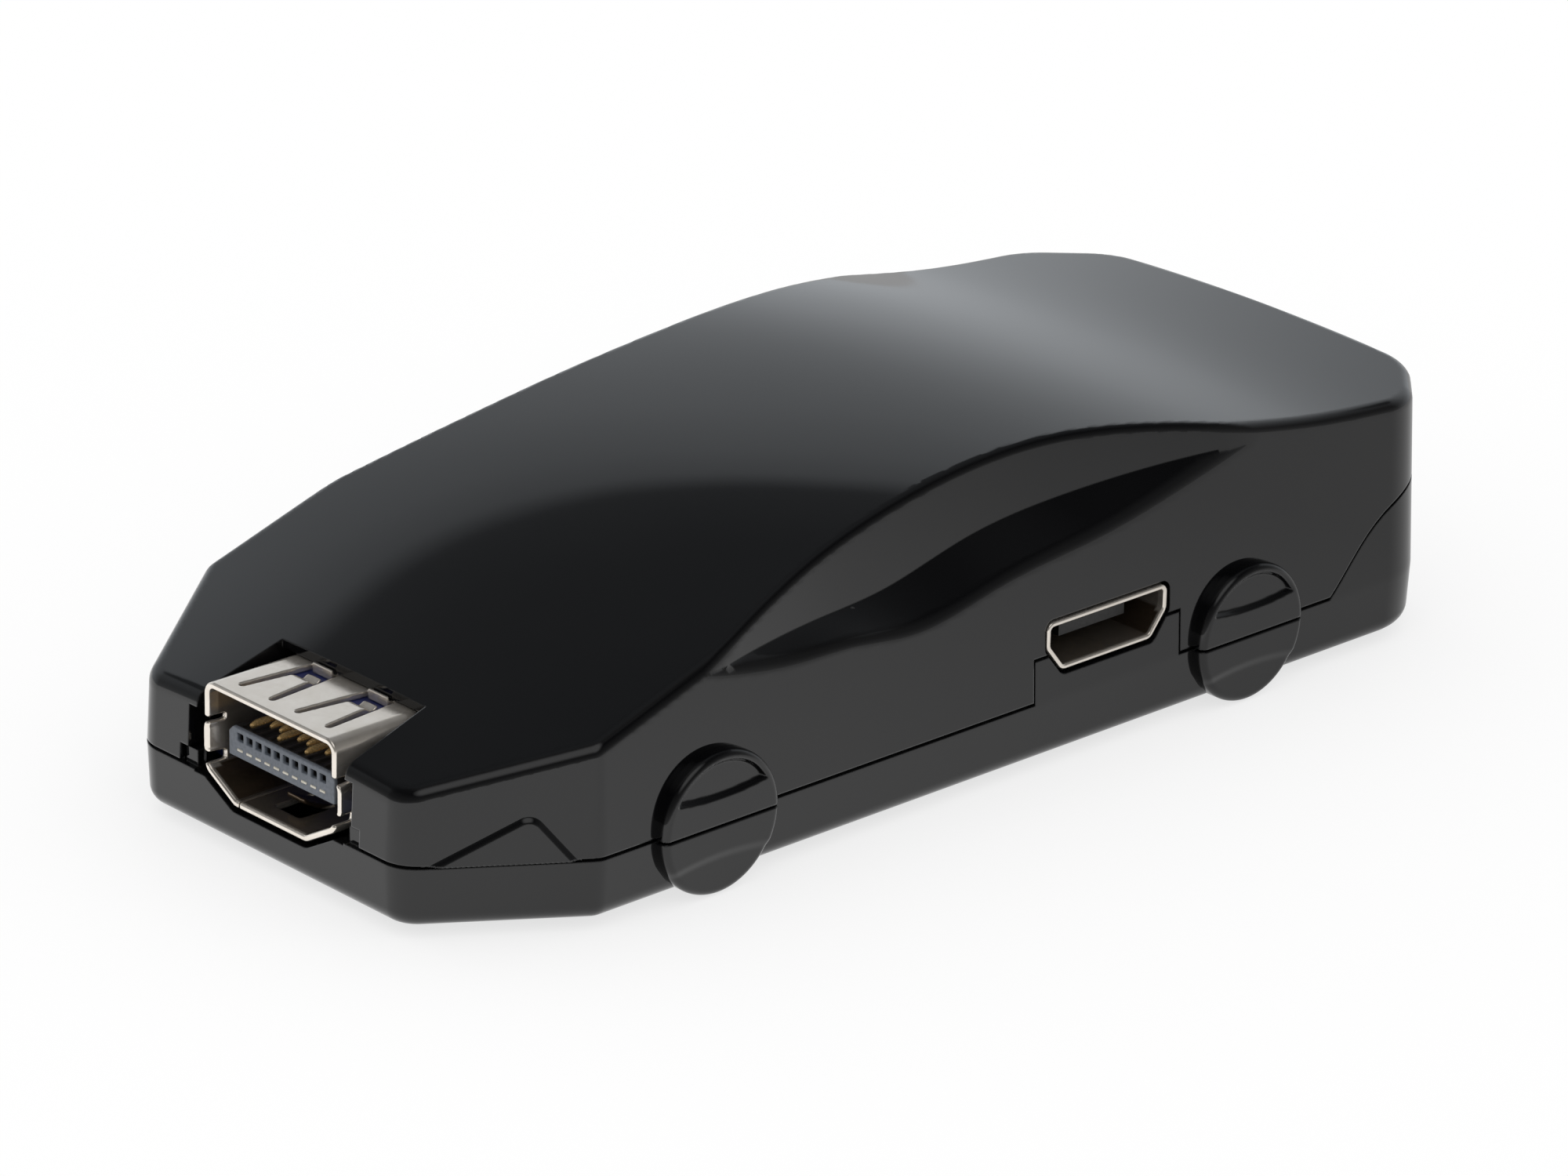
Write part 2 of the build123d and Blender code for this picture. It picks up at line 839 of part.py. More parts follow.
# Mini video socket: sheet shell with two spring fingers, side latches and board wings
with BuildPart() as mini_socket_shell:
    add(socket_run(mini_mouth, mini_outline(), 0, mini_depth))
    add(socket_run(mini_mouth, mini_outline(-mini_sheet), 0, mini_depth), mode=Mode.SUBTRACT)
    finger = spring_slits(
        mini_finger_root, mini_finger_tip, mini_finger_window, mini_finger_root_half, mini_finger_tip_half, mini_slit
    )
    add(spring_cuts(mini_mouth, 1, mini_height, mini_sheet, mini_finger_half, finger), mode=Mode.SUBTRACT)
    with BuildSketch(mini_mouth):
        with Locations((0, mini_latch_low), (0, mini_latch_high)):
            Rectangle(mini_width, mini_latch_notch)
    extrude(amount=-mini_latch_depth, mode=Mode.SUBTRACT)
    wing_x = at(mini_recess + mini_wing_start)
    for side in (-1, 1):
        across = sorted((side * (mini_width / 2 - mini_sheet), side * mini_wing_half))
        wing_high = (wing_x + mini_wing_length, across[1], board_top_z + mini_sheet)
        add(block((wing_x, across[0], board_top_z), wing_high))
mini_socket_shell.part.label = "mini_socket_shell"
export_step(mini_socket_shell.part, "parts/mini_socket_shell.step")

mini_low = foot_z - mini_centre_z
mini_high = mini_tongue_rise + mini_tongue_height / 2 + pin_proud - pin_thickness / 2
mini_high_path = bent_path(mini_pin_start, mini_high, mini_block_end, mini_low)
with BuildPart() as mini_upper_contacts:
    add(contact_row(mini_mouth, row(mini_pins, mini_pitch), mini_high_path))
mini_upper_contacts.part.label = "mini_upper_contacts"
export_step(mini_upper_contacts.part, "parts/mini_upper_contacts.step")

mini_low_path = [(mini_tongue_recess, mini_low), (mini_block_end + pin_foot, mini_low)]
with BuildPart() as mini_lower_contacts:
    lower_places = [place + mini_pitch / 2 for place in row(mini_pins, mini_pitch)]
    add(contact_row(mini_mouth, lower_places, mini_low_path))
mini_lower_contacts.part.label = "mini_lower_contacts"
export_step(mini_lower_contacts.part, "parts/mini_lower_contacts.step")

with BuildPart() as mini_insulator:
    add(
        tongue_and_block(
            mini_mouth,
            mini_outline(-mini_sheet),
            (mini_block_start, mini_block_end),
            (mini_tongue_width, mini_tongue_height),
            mini_tongue_rise,
            mini_tongue_recess,
        )
    )
    with BuildSketch(mini_mouth.offset(-mini_tongue_recess)):
        with Locations([(place, mini_tongue_rise + mini_pocket_rise) for place in row(mini_pins, mini_pitch)]):
            Rectangle(mini_pocket, mini_pocket)
    extrude(amount=-mini_pocket_depth, mode=Mode.SUBTRACT)
    add(mini_upper_contacts.part, mode=Mode.SUBTRACT)
    add(mini_lower_contacts.part, mode=Mode.SUBTRACT)
mini_insulator.part.label = "mini_insulator"
export_step(mini_insulator.part, "parts/mini_insulator.step")

# Wide video socket: sheet shell with springs above and below, on four legs
with BuildPart() as wide_socket_shell:
    add(socket_run(wide_mouth, wide_outline(), 0, wide_depth))
    add(wide_legs(0))
    add(socket_run(wide_mouth, wide_outline(-wide_sheet), 0, wide_depth), mode=Mode.SUBTRACT)
    finger = spring_slits(
        wide_finger_root, wide_finger_tip, wide_finger_window, wide_finger_root_half, wide_finger_tip_half, wide_slit
    )
    for side in (-1, 1):
        add(spring_cuts(wide_mouth, side, wide_height, wide_sheet, wide_finger_half, finger), mode=Mode.SUBTRACT)
wide_socket_shell.part.label = "wide_socket_shell"
export_step(wide_socket_shell.part, "parts/wide_socket_shell.step")

wide_foot = foot_z - wide_centre_z
wide_high = wide_tongue_rise + wide_tongue_height / 2 + pin_proud - pin_thickness / 2
wide_low = wide_tongue_rise - wide_tongue_height / 2 - pin_proud + pin_thickness / 2
with BuildPart() as wide_upper_contacts:
    wide_high_path = bent_path(wide_pin_start, wide_high, wide_block_end, wide_foot)
    add(contact_row(wide_mouth, row(wide_upper_pins, wide_pitch), wide_high_path))
wide_upper_contacts.part.label = "wide_upper_contacts"
export_step(wide_upper_contacts.part, "parts/wide_upper_contacts.step")

with BuildPart() as wide_lower_contacts:
    wide_low_path = bent_path(wide_pin_start, wide_low, wide_block_end, wide_foot)
    add(contact_row(wide_mouth, row(wide_lower_pins, wide_pitch), wide_low_path))
wide_lower_contacts.part.label = "wide_lower_contacts"
export_step(wide_lower_contacts.part, "parts/wide_lower_contacts.step")

with BuildPart() as wide_insulator:
    add(
        tongue_and_block(
            wide_mouth,
            wide_outline(-wide_sheet),
            (wide_block_start, wide_depth),
            (wide_tongue_width, wide_tongue_height),
            wide_tongue_rise,
            wide_tongue_recess,
        )
    )
    add(pedestal(wide_mouth, wide_width, wide_height, wide_sheet, wide_lift, (wide_depth, wide_block_end)))
    add(wide_upper_contacts.part, mode=Mode.SUBTRACT)
    add(wide_lower_contacts.part, mode=Mode.SUBTRACT)
wide_insulator.part.label = "wide_insulator"
export_step(wide_insulator.part, "parts/wide_insulator.step")

# Power socket: sheet shell on two legs, with its bottom flat on the board
with BuildPart() as power_socket_shell:
    add(socket_run(power_mouth, power_outline(), 0, power_depth))
    add(power_legs(0))
    add(socket_run(power_mouth, power_outline(-power_sheet), 0, power_depth), mode=Mode.SUBTRACT)
power_socket_shell.part.label = "power_socket_shell"
export_step(power_socket_shell.part, "parts/power_socket_shell.step")

power_low = power_tongue_rise - power_tongue_height / 2 - pin_proud + pin_thickness / 2
with BuildPart() as power_contacts:
    power_path = bent_path(power_pin_start, power_low, power_block_end, foot_z - power_centre_z)
    add(contact_row(power_mouth, row(power_pins, power_pitch), power_path))
power_contacts.part.label = "power_contacts"
export_step(power_contacts.part, "parts/power_contacts.step")

with BuildPart() as power_insulator:
    add(
        tongue_and_block(
            power_mouth,
            power_outline(-power_sheet),
            (power_block_start, power_depth),
            (power_tongue_width, power_tongue_height),
            power_tongue_rise,
            power_tongue_recess,
        )
    )
    add(pedestal(power_mouth, power_width, power_height, power_sheet, 0, (power_depth, power_block_end)))
    add(power_contacts.part, mode=Mode.SUBTRACT)
power_insulator.part.label = "power_insulator"
export_step(power_insulator.part, "parts/power_insulator.step")

# Converter chip on its rows of pads
with BuildPart() as converter_chip:
    with Locations(on_board(*converter_place)):
        add(package((converter_side, converter_side, converter_height), pad_thickness))
converter_chip.part.label = "converter_chip"
export_step(converter_chip.part, "parts/converter_chip.step")

with BuildPart() as converter_pads:
    with Locations(on_board(*converter_place)):
        Box(converter_heat_pad, converter_heat_pad, pad_thickness, align=standing)
        with PolarLocations(converter_side / 2, 4):
            with Locations([(0, place) for place in row(converter_pad_count, converter_pad_pitch)]):
                Box(converter_pad_length, converter_pad_width, pad_thickness, align=standing)
converter_pads.part.label = "converter_pads"
export_step(converter_pads.part, "parts/converter_pads.step")

# Leaded chips: firmware memory, supply regulator and level shifters
with BuildPart() as firmware_chip:
    with Locations(on_board(*firmware_place)):
        add(package(firmware_size, lead_stand_off))
firmware_chip.part.label = "firmware_chip"
export_step(firmware_chip.part, "parts/firmware_chip.step")

with BuildPart() as firmware_leads:
    with Locations(on_board(*firmware_place)):
        add(gull_leads(lead_count, firmware_pitch, firmware_size))
firmware_leads.part.label = "firmware_leads"
export_step(firmware_leads.part, "parts/firmware_leads.step")

with BuildPart() as supply_regulator:
    with Locations(on_board(*regulator_place)):
        add(package(regulator_size, lead_stand_off))
supply_regulator.part.label = "supply_regulator"
export_step(supply_regulator.part, "parts/supply_regulator.step")

with BuildPart() as regulator_leads:
    with Locations(on_board(*regulator_place)):
        add(gull_leads(small_lead_count, regulator_pitch, regulator_size))
regulator_leads.part.label = "regulator_leads"
export_step(regulator_leads.part, "parts/regulator_leads.step")

with BuildPart() as level_shifters:
    with Locations([on_board(*place) for place in shifter_places]):
        add(package(shifter_size, lead_stand_off))
level_shifters.part.label = "level_shifters"
export_step(level_shifters.part, "parts/level_shifters.step")

with BuildPart() as shifter_leads:
    with Locations([on_board(*place) for place in shifter_places]):
        add(gull_leads(small_lead_count, shifter_pitch, shifter_size))
shifter_leads.part.label = "shifter_leads"
export_step(shifter_leads.part, "parts/shifter_leads.step")

# Crystal: ceramic tub with a welded metal lid
with BuildPart() as crystal:
    with Locations(on_board(*crystal_place)):
        add(package(crystal_size, 0))
        lid_size = (crystal_size[0] - 2 * crystal_lid_inset, crystal_size[1] - 2 * crystal_lid_inset)
        add(package((*lid_size, crystal_lid_height), crystal_size[2]))
crystal.part.label = "crystal"
export_step(crystal.part, "parts/crystal.step")

# Power coil: square ferrite body with cut corners and a round core in a groove
with BuildPart() as power_coil:
    with BuildSketch(Plane(on_board(*coil_place))) as body:
        Rectangle(coil_side, coil_side)
        chamfer(body.vertices(), coil_corner)
    extrude(amount=coil_height)
    with BuildSketch(Plane(on_board(*coil_place)).offset(coil_height)):
        Circle(coil_core_radius + coil_groove_width)
        Circle(coil_core_radius, mode=Mode.SUBTRACT)
    extrude(amount=-coil_groove_depth, mode=Mode.SUBTRACT)
power_coil.part.label = "power_coil"
export_step(power_coil.part, "parts/power_coil.step")

# Two-ended chips, each kind in its own group
with BuildPart() as bulk_capacitors:
    with Locations([on_board(*place) for place in bulk_places]):
        add(chip_part(bulk_size))
bulk_capacitors.part.label = "bulk_capacitors"
export_step(bulk_capacitors.part, "parts/bulk_capacitors.step")

with BuildPart() as input_fuse:
    with Locations(on_board(*fuse_place)):
        add(chip_part(fuse_size))
input_fuse.part.label = "input_fuse"
export_step(input_fuse.part, "parts/input_fuse.step")

with BuildPart() as ferrite_beads:
    with Locations([on_board(*place) for place in bead_places]):
        add(chip_part(bead_size))
ferrite_beads.part.label = "ferrite_beads"
export_step(ferrite_beads.part, "parts/ferrite_beads.step")

with BuildPart() as coupling_capacitors:
    with Locations([on_board(coupling_row, y) for y in row(coupling_count, coupling_pitch)]):
        add(chip_part(capacitor_size))
coupling_capacitors.part.label = "coupling_capacitors"
export_step(coupling_capacitors.part, "parts/coupling_capacitors.step")

with BuildPart() as decoupling_capacitors:
    for share in decoupling_rows:
        with Locations([on_board(share, y) for y in row(decoupling_count, decoupling_pitch)]):
            add(chip_part(capacitor_size))
decoupling_capacitors.part.label = "decoupling_capacitors"
export_step(decoupling_capacitors.part, "parts/decoupling_capacitors.step")

with BuildPart() as chip_resistors:
    with Locations([on_board(resistor_row, y) for y in row(resistor_count, resistor_pitch)]):
        add(chip_part(resistor_size))
chip_resistors.part.label = "chip_resistors"
export_step(chip_resistors.part, "parts/chip_resistors.step")

# Surge arrays beside the wide socket's feet
with BuildPart() as surge_arrays:
    with Locations([on_board(array_row, y) for y in row(array_count, array_pitch)]):
        add(package(array_size, 0))
surge_arrays.part.label = "surge_arrays"
export_step(surge_arrays.part, "parts/surge_arrays.step")
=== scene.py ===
import math

import bmesh
import bpy
import numpy as np
from mathutils import Matrix, Vector


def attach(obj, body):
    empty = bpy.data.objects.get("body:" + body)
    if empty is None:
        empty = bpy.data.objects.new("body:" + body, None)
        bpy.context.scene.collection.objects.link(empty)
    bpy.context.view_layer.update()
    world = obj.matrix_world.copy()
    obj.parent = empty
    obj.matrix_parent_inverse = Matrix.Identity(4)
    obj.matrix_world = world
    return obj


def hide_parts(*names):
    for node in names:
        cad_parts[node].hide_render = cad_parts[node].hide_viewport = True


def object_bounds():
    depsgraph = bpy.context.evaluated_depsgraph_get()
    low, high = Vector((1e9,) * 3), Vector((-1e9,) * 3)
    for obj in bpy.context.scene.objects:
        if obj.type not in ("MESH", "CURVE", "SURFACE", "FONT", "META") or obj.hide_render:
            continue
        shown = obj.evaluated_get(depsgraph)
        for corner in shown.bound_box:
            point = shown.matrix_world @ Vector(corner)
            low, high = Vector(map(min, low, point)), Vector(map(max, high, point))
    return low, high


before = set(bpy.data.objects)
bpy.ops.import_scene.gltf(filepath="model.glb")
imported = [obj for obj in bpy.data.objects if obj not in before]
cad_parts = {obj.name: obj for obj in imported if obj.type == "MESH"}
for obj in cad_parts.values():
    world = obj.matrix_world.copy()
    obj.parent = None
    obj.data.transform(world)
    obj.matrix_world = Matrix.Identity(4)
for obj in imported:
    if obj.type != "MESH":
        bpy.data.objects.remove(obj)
cad_box = [list(corner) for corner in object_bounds()]

# Looks of a pocket video converter with a glossy car-shaped housing.
# Sizes here are in millimetres, with X counted from the nose, and become
# metres in the CAD frame where each mesh is made.
MM = 0.001
LENGTH = (cad_box[1][0] - cad_box[0][0]) / MM
NOSE = cad_box[0][0] / MM

# Housing outline and heights, as in the CAD model
FLANK_HALF = 13.05
NOSE_HALF = 8.45
NOSE_RUN = 6.9
TAIL_CUT = 3.5
NOSE_ROUND = 1.8
CORNER_ROUND = 1.1
TAIL_ROUND = 3.8
UNDERSIDE_Z = 0.4
PARTING_Z = 3.2
CROWN = 0.6
LEAN = math.tan(math.radians(2.5))
RIM_ROUND = 0.55
CREST_ROUND = 0.5
CREST_COSINE = 0.2
UNDERSIDE_ROUND = 0.8
WINDOW_LEAN = math.tan(math.radians(5.0))

ROOF_LINE = [(-0.05, 5.75), (0.0, 6.65), (0.12, 8.85), (0.245, 11.25), (0.355, 13.0), (0.475, 14.2),
             (0.585, 14.6), (0.7, 14.0), (0.82, 12.75), (0.92, 12.15), (1.05, 11.8)]
WINDOW_LINE = [(0.17, 14.2, 9.9, 0.7), (0.213, 13.1, 9.78, 0.7), (0.28, 12.05, 9.82, 0.75),
               (0.347, 11.35, 9.8, 0.5), (0.415, 10.95, 9.9, 0.66), (0.5, 10.68, 10.85, 0.66),
               (0.592, 10.95, 11.5, 0.76), (0.677, 11.8, 11.9, 0.95), (0.77, 13.05, 12.05, 1.0),
               (0.83, 14.2, 12.1, 1.0)]


class Spline:
    """Natural cubic curve through a few points."""

    def __init__(self, xs, ys):
        self.xs = np.array(xs, float)
        self.ys = np.array(ys, float)
        count = len(xs)
        gaps = np.diff(self.xs)
        system = np.eye(count)
        right = np.zeros(count)
        for i in range(1, count - 1):
            system[i, i - 1:i + 2] = gaps[i - 1], 2 * (gaps[i - 1] + gaps[i]), gaps[i]
            slopes = np.diff(self.ys)[i - 1:i + 1] / gaps[i - 1:i + 1]
            right[i] = 6 * (slopes[1] - slopes[0])
        self.bends = np.linalg.solve(system, right)

    def __call__(self, x):
        i = np.clip(np.searchsorted(self.xs, x) - 1, 0, len(self.xs) - 2)
        x0, x1 = self.xs[i], self.xs[i + 1]
        gap = x1 - x0
        a, b = (x1 - x) / gap, (x - x0) / gap
        bend = ((a**3 - a) * self.bends[i] + (b**3 - b) * self.bends[i + 1]) * gap**2 / 6
        return a * self.ys[i] + b * self.ys[i + 1] + bend


roof_height = Spline([LENGTH * p[0] for p in ROOF_LINE], [p[1] for p in ROOF_LINE])
window_half, sill_height, sill_slope = (
    Spline([LENGTH * p[0] for p in WINDOW_LINE], [p[column] for p in WINDOW_LINE]) for column in (1, 2, 3)
)


def round_max(a, b, radius, cosine=0.0):
    """Inside both of two fields, with a round edge where they meet."""
    a = a + radius
    b = b + radius
    corner = (a - cosine * b > 0) & (b - cosine * a > 0)
    square = (a * a + b * b - 2 * cosine * a * b) / (1 - cosine * cosine)
    return np.where(corner, np.sqrt(np.maximum(square, 0)), np.maximum(a, b)) - radius


def plan_field(x, y, z):
    """Distance outside the drafted side walls, negative inside."""
    half = np.abs(y)
    slant = math.hypot(NOSE_RUN, FLANK_HALF - NOSE_HALF)
    across, along = NOSE_RUN / slant, (FLANK_HALF - NOSE_HALF) / slant
    nose = -x
    corner = across * (half - NOSE_HALF) - along * x
    flank = half - FLANK_HALF
    chamfer = (x - LENGTH + TAIL_CUT + half - FLANK_HALF) / math.sqrt(2)
    tail = x - LENGTH
    front = round_max(nose, corner, NOSE_ROUND, along)
    front = round_max(front, flank, CORNER_ROUND, across)
    rear = round_max(tail, chamfer, TAIL_ROUND, math.sqrt(0.5))
    rear = round_max(rear, flank, TAIL_ROUND, math.sqrt(0.5))
    return np.maximum(front, rear) + np.abs(z - PARTING_Z) * LEAN


def roof_field(x, y, z):
    """Distance above the crowned roof."""
    step = 0.05
    slope = (roof_height(x + step) - roof_height(x - step)) / (2 * step)
    rise = z - roof_height(x) + CROWN * (y / FLANK_HALF) ** 2
    return rise / np.sqrt(1 + slope * slope)


def sill_field(x, y, z):
    """Distance above the sloping sill of the side windows."""
    slope = sill_slope(x)
    return (z - sill_height(x) + slope * (np.abs(y) - window_half(x))) / np.sqrt(1 + slope * slope)


def wall_field(x, y, z):
    """Distance outside the upright wall of the side windows."""
    return np.abs(y) - window_half(x) + WINDOW_LEAN * (z - sill_height(x))


def window_field(x, y, z):
    """Distance into the cut-away space of the side windows, above the sill and beyond the wall."""
    return np.minimum(sill_field(x, y, z), wall_field(x, y, z))


def housing_field(x, y, z):
    """Distance outside the whole housing, negative inside."""
    sides = plan_field(x, y, z)
    body = round_max(sides, roof_field(x, y, z), RIM_ROUND)
    body = round_max(body, UNDERSIDE_Z - z, UNDERSIDE_ROUND)
    return round_max(body, window_field(x, y, z), CREST_ROUND, CREST_COSINE)


# Steps that move a net's points onto a surface or a crease, and the least square of a slope they divide by
SURFACE_STEPS = 4
CREASE_STEPS = 5
LEAST_SLOPE = 0.2


def net_of(field, low, high, cell):
    """Quads on the zero surface of a field: one point per mixed cell, moved onto the surface."""
    axes = [np.arange(low[i], high[i] + cell, cell) for i in range(3)]
    values = field(axes[0][:, None, None], axes[1][None, :, None], axes[2][None, None, :])
    shape = tuple(len(axis) - 1 for axis in axes)
    inside = values < 0
    total = np.zeros(shape + (3,))
    count = np.zeros(shape)
    for axis in range(3):
        first = [slice(None)] * 3
        second = [slice(None)] * 3
        first[axis] = slice(0, -1)
        second[axis] = slice(1, None)
        a, b = values[tuple(first)], values[tuple(second)]
        cross = inside[tuple(first)] != inside[tuple(second)]
        share = np.where(cross, a / np.where(cross, a - b, 1), 0)
        others = [i for i in range(3) if i != axis]
        for da in (0, 1):
            for db in (0, 1):
                window = [slice(None)] * 3
                for other, offset in zip(others, (da, db)):
                    window[other] = slice(offset, offset + shape[other])
                hit = cross[tuple(window)]
                count += hit
                place = np.zeros(shape + (3,))
                place[..., axis] = share[tuple(window)]
                place[..., others[0]] = da
                place[..., others[1]] = db
                total += place * hit[..., None]
    mixed = count > 0
    index = np.full(shape, -1)
    index[mixed] = np.arange(mixed.sum())
    cells = np.argwhere(mixed)
    points = (cells + total[mixed] / count[mixed][:, None]) * cell + np.array(low)
    for _ in range(SURFACE_STEPS):
        value = field(*points.T)
        slope = gradient(field, points)
        points = points - (value / np.maximum((slope**2).sum(1), LEAST_SLOPE))[:, None] * slope
    faces = []
    for axis in range(3):
        u, v = (axis + 1) % 3, (axis + 2) % 3
        first = [slice(None)] * 3
        second = [slice(None)] * 3
        first[axis] = slice(0, -1)
        second[axis] = slice(1, None)
        a, b = inside[tuple(first)], inside[tuple(second)]
        for flip, change in ((False, a & ~b), (True, ~a & b)):
            at = np.argwhere(change)
            ring = []
            for du, dv in ((-1, -1), (0, -1), (0, 0), (-1, 0)):
                corner = at.copy()
                corner[:, u] += du
                corner[:, v] += dv
                ring.append(index[tuple(corner.T)])
            ring = np.stack(ring, 1)
            faces.append(ring[:, ::-1] if flip else ring)
    return points, np.concatenate(faces), cells * cell + np.array(low)


def snap_to_crease(points, corners, cell, level):
    """Moves the net's points onto the crease of the window's wall and sill where it crosses their cell."""
    moved = points.copy()
    for _ in range(CREASE_STEPS):
        slopes = np.stack([gradient(sill_field, moved), gradient(wall_field, moved)], 1)
        misses = np.stack([sill_field(*moved.T), wall_field(*moved.T)], 1) + level
        steps = np.linalg.solve(slopes @ slopes.transpose(0, 2, 1), misses[:, :, None])
        moved = moved - (slopes.transpose(0, 2, 1) @ steps)[:, :, 0]
    margin = CREASE_REACH * cell
    own = ((moved > corners - margin) & (moved < corners + cell + margin)).all(1)
    own &= np.abs(housing_field(*moved.T) + level) < CREASE_OFF * cell
    return np.where(own[:, None], moved, points)


def gradient(field, points, step=0.02):
    """Slope of a field at each point."""
    slope = np.empty_like(points)
    for axis in range(3):
        shift = np.zeros(3)
        shift[axis] = step
        slope[:, axis] = (field(*(points + shift).T) - field(*(points - shift).T)) / (2 * step)
    return slope


def to_frame(points):
    """Millimetres from the nose become metres in the CAD frame."""
    return (np.asarray(points, float) + np.array([NOSE, 0, 0])) * MM


def new_object(name, points, faces):
    """Mesh object from points in millimetres from the nose."""
    mesh = bpy.data.meshes.new(name)
    mesh.from_pydata(to_frame(points).tolist(), [], [list(map(int, face)) for face in faces])
    mesh.validate()
    mesh.update()
    piece = bpy.data.objects.new(name, mesh)
    bpy.context.scene.collection.objects.link(piece)
    return piece


def solid_cut(target, cutter, operation, name):
    """Boolean of two closed meshes, returned as a new object; both inputs are removed."""
    tool = target.modifiers.new("cut", "BOOLEAN")
    tool.operation = operation
    tool.solver = "MANIFOLD"
    tool.object = cutter
    graph = bpy.context.evaluated_depsgraph_get()
    mesh = bpy.data.meshes.new_from_object(target.evaluated_get(graph))
    if not len(mesh.polygons):
        raise RuntimeError("empty result in " + name)
    piece = bpy.data.objects.new(name, mesh)
    bpy.context.scene.collection.objects.link(piece)
    bpy.data.objects.remove(target)
    bpy.data.objects.remove(cutter)
    return piece


JOIN_REACH = 1e-7


def copy_of(node, name):
    """Closed copy of a CAD node's mesh, with the vertices of neighbouring faces joined."""
    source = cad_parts[node]
    mesh = source.data.copy()
    mesh.transform(source.matrix_world)
    work = bmesh.new()
    work.from_mesh(mesh)
    bmesh.ops.remove_doubles(work, verts=work.verts, dist=JOIN_REACH)
    work.to_mesh(mesh)
    work.free()
    mesh.materials.clear()
    piece = bpy.data.objects.new(name, mesh)
    bpy.context.scene.collection.objects.link(piece)
    return piece


def facing_out(mesh):
    """Turns every face of a closed mesh outward."""
    work = bmesh.new()
    work.from_mesh(mesh)
    bmesh.ops.recalc_face_normals(work, faces=work.faces)
    work.to_mesh(mesh)
    work.free()


# The shells' outer form lies SKIN inside the exact form and is meshed on cells of CELL
SKIN = 0.035
CELL = 0.2
FORM_LOW, FORM_HIGH = (-0.6, -13.6, -0.1), (LENGTH + 0.6, 13.6, 15.2)
# A point moves onto the crease within its own cell and this share of a cell around it,
# and only where the crease lies on the housing to within another share
CREASE_REACH = 0.45
CREASE_OFF = 0.3
# How near to its surface a corner takes that surface's own normal
CREASE_NEAR = 0.03
SKIN_NEAR = 0.14
# Cosines of the turns up to which a normal fits its face, and two faces are one smooth surface
SKIN_TURN = math.cos(math.radians(38))
SIDE_TURN = 0.7
SMOOTH_TURN = math.cos(math.radians(26))
TINY = 1e-9


def envelope():
    """The housing's outer form as one closed, finely meshed solid."""
    points, faces, corners = net_of(lambda x, y, z: housing_field(x, y, z) + SKIN, FORM_LOW, FORM_HIGH, CELL)
    body = new_object("form", snap_to_crease(points, corners, CELL, SKIN), faces)
    facing_out(body.data)
    return body


def attribute(items, label, width=1, kind=float):
    """One attribute of all the items of a mesh, as an array."""
    values = np.empty(len(items) * width, kind)
    items.foreach_get(label, values)
    return values.reshape(-1, width) if width > 1 else values


def unit(vectors):
    return vectors / np.maximum(np.linalg.norm(vectors, axis=1), TINY)[:, None]


def true_normals(mesh):
    """Normals of the exact form on the fine outer skin, and of smooth faces elsewhere."""
    points = attribute(mesh.vertices, "co", 3) / MM - np.array([NOSE, 0, 0])
    loops = attribute(mesh.loops, "vertex_index", kind=int)
    flat = attribute(mesh.polygons, "normal", 3)
    area = attribute(mesh.polygons, "area")
    owner = np.repeat(np.arange(len(flat)), attribute(mesh.polygons, "loop_total", kind=int))
    # the outer skin: faces whose corners all lie on the form
    off = np.abs(housing_field(*points.T) + SKIN)
    skin_face = np.ones(len(flat), bool)
    np.logical_and.at(skin_face, owner, off[loops] < SKIN_NEAR)
    slope = unit(gradient(housing_field, points))
    normals = flat[owner].copy()
    skin = skin_face[owner] & ((slope[loops] * normals).sum(1) > SKIN_TURN)
    normals[skin] = slope[loops][skin]
    # the crease under the window wall: each side keeps its own surface's normal
    sides = sill_field, wall_field
    pair = [unit(gradient(field, points)) for field in sides]
    near = [np.abs(field(*points.T) + SKIN) < CREASE_NEAR for field in sides]
    crease = (near[0] & near[1])[loops] & skin_face[owner]
    match = np.stack([(slopes[loops] * flat[owner]).sum(1) for slopes in pair], 1)
    for side, slopes in enumerate(pair):
        own = crease & (match.argmax(1) == side) & (match[:, side] > SIDE_TURN)
        normals[own] = slopes[loops][own]
        skin = skin | own
    # elsewhere: faces at a shared vertex that turn little are averaged
    order = np.argsort(loops, kind="stable")
    starts = np.searchsorted(loops[order], np.arange(len(points) + 1))
    for vertex in np.unique(loops[~skin]):
        around = order[starts[vertex]:starts[vertex + 1]]
        own = flat[owner[around]]
        close = (own @ own.T) > SMOOTH_TURN
        mean = unit((close * area[owner[around]][None]) @ own)
        plain = ~skin[around]
        normals[around[plain]] = mean[plain]
    mesh.shade_smooth()
    mesh.normals_split_custom_set(normals.tolist())


def dress(node, form, added=None):
    """A shell of the housing: the CAD node, with what is added to it, trimmed to the fine outer form."""
    outer = bpy.data.objects.new("outer", form.data.copy())
    bpy.context.scene.collection.objects.link(outer)
    inner = copy_of(node, "inner")
    if added is not None:
        inner = solid_cut(inner, added, "UNION", "inner")
    shell = solid_cut(inner, outer, "INTERSECT", node + "_skin")
    shell.data.materials.clear()
    true_normals(shell.data)
    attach(shell, "root")
    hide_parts(node)
    return shell


def new_material(name):
    """New node material, its node tree and its principled shader."""
    material = bpy.data.materials.new(name)
    material.use_nodes = True
    tree = material.node_tree
    return material, tree, tree.nodes["Principled BSDF"]


def maths(tree, operation, first, second):
    """Two values joined by an operation."""
    node = tree.nodes.new("ShaderNodeMath")
    node.operation = operation
    tree.links.new(first, node.inputs[0])
    tree.links.new(second, node.inputs[1])
    return node.outputs[0]


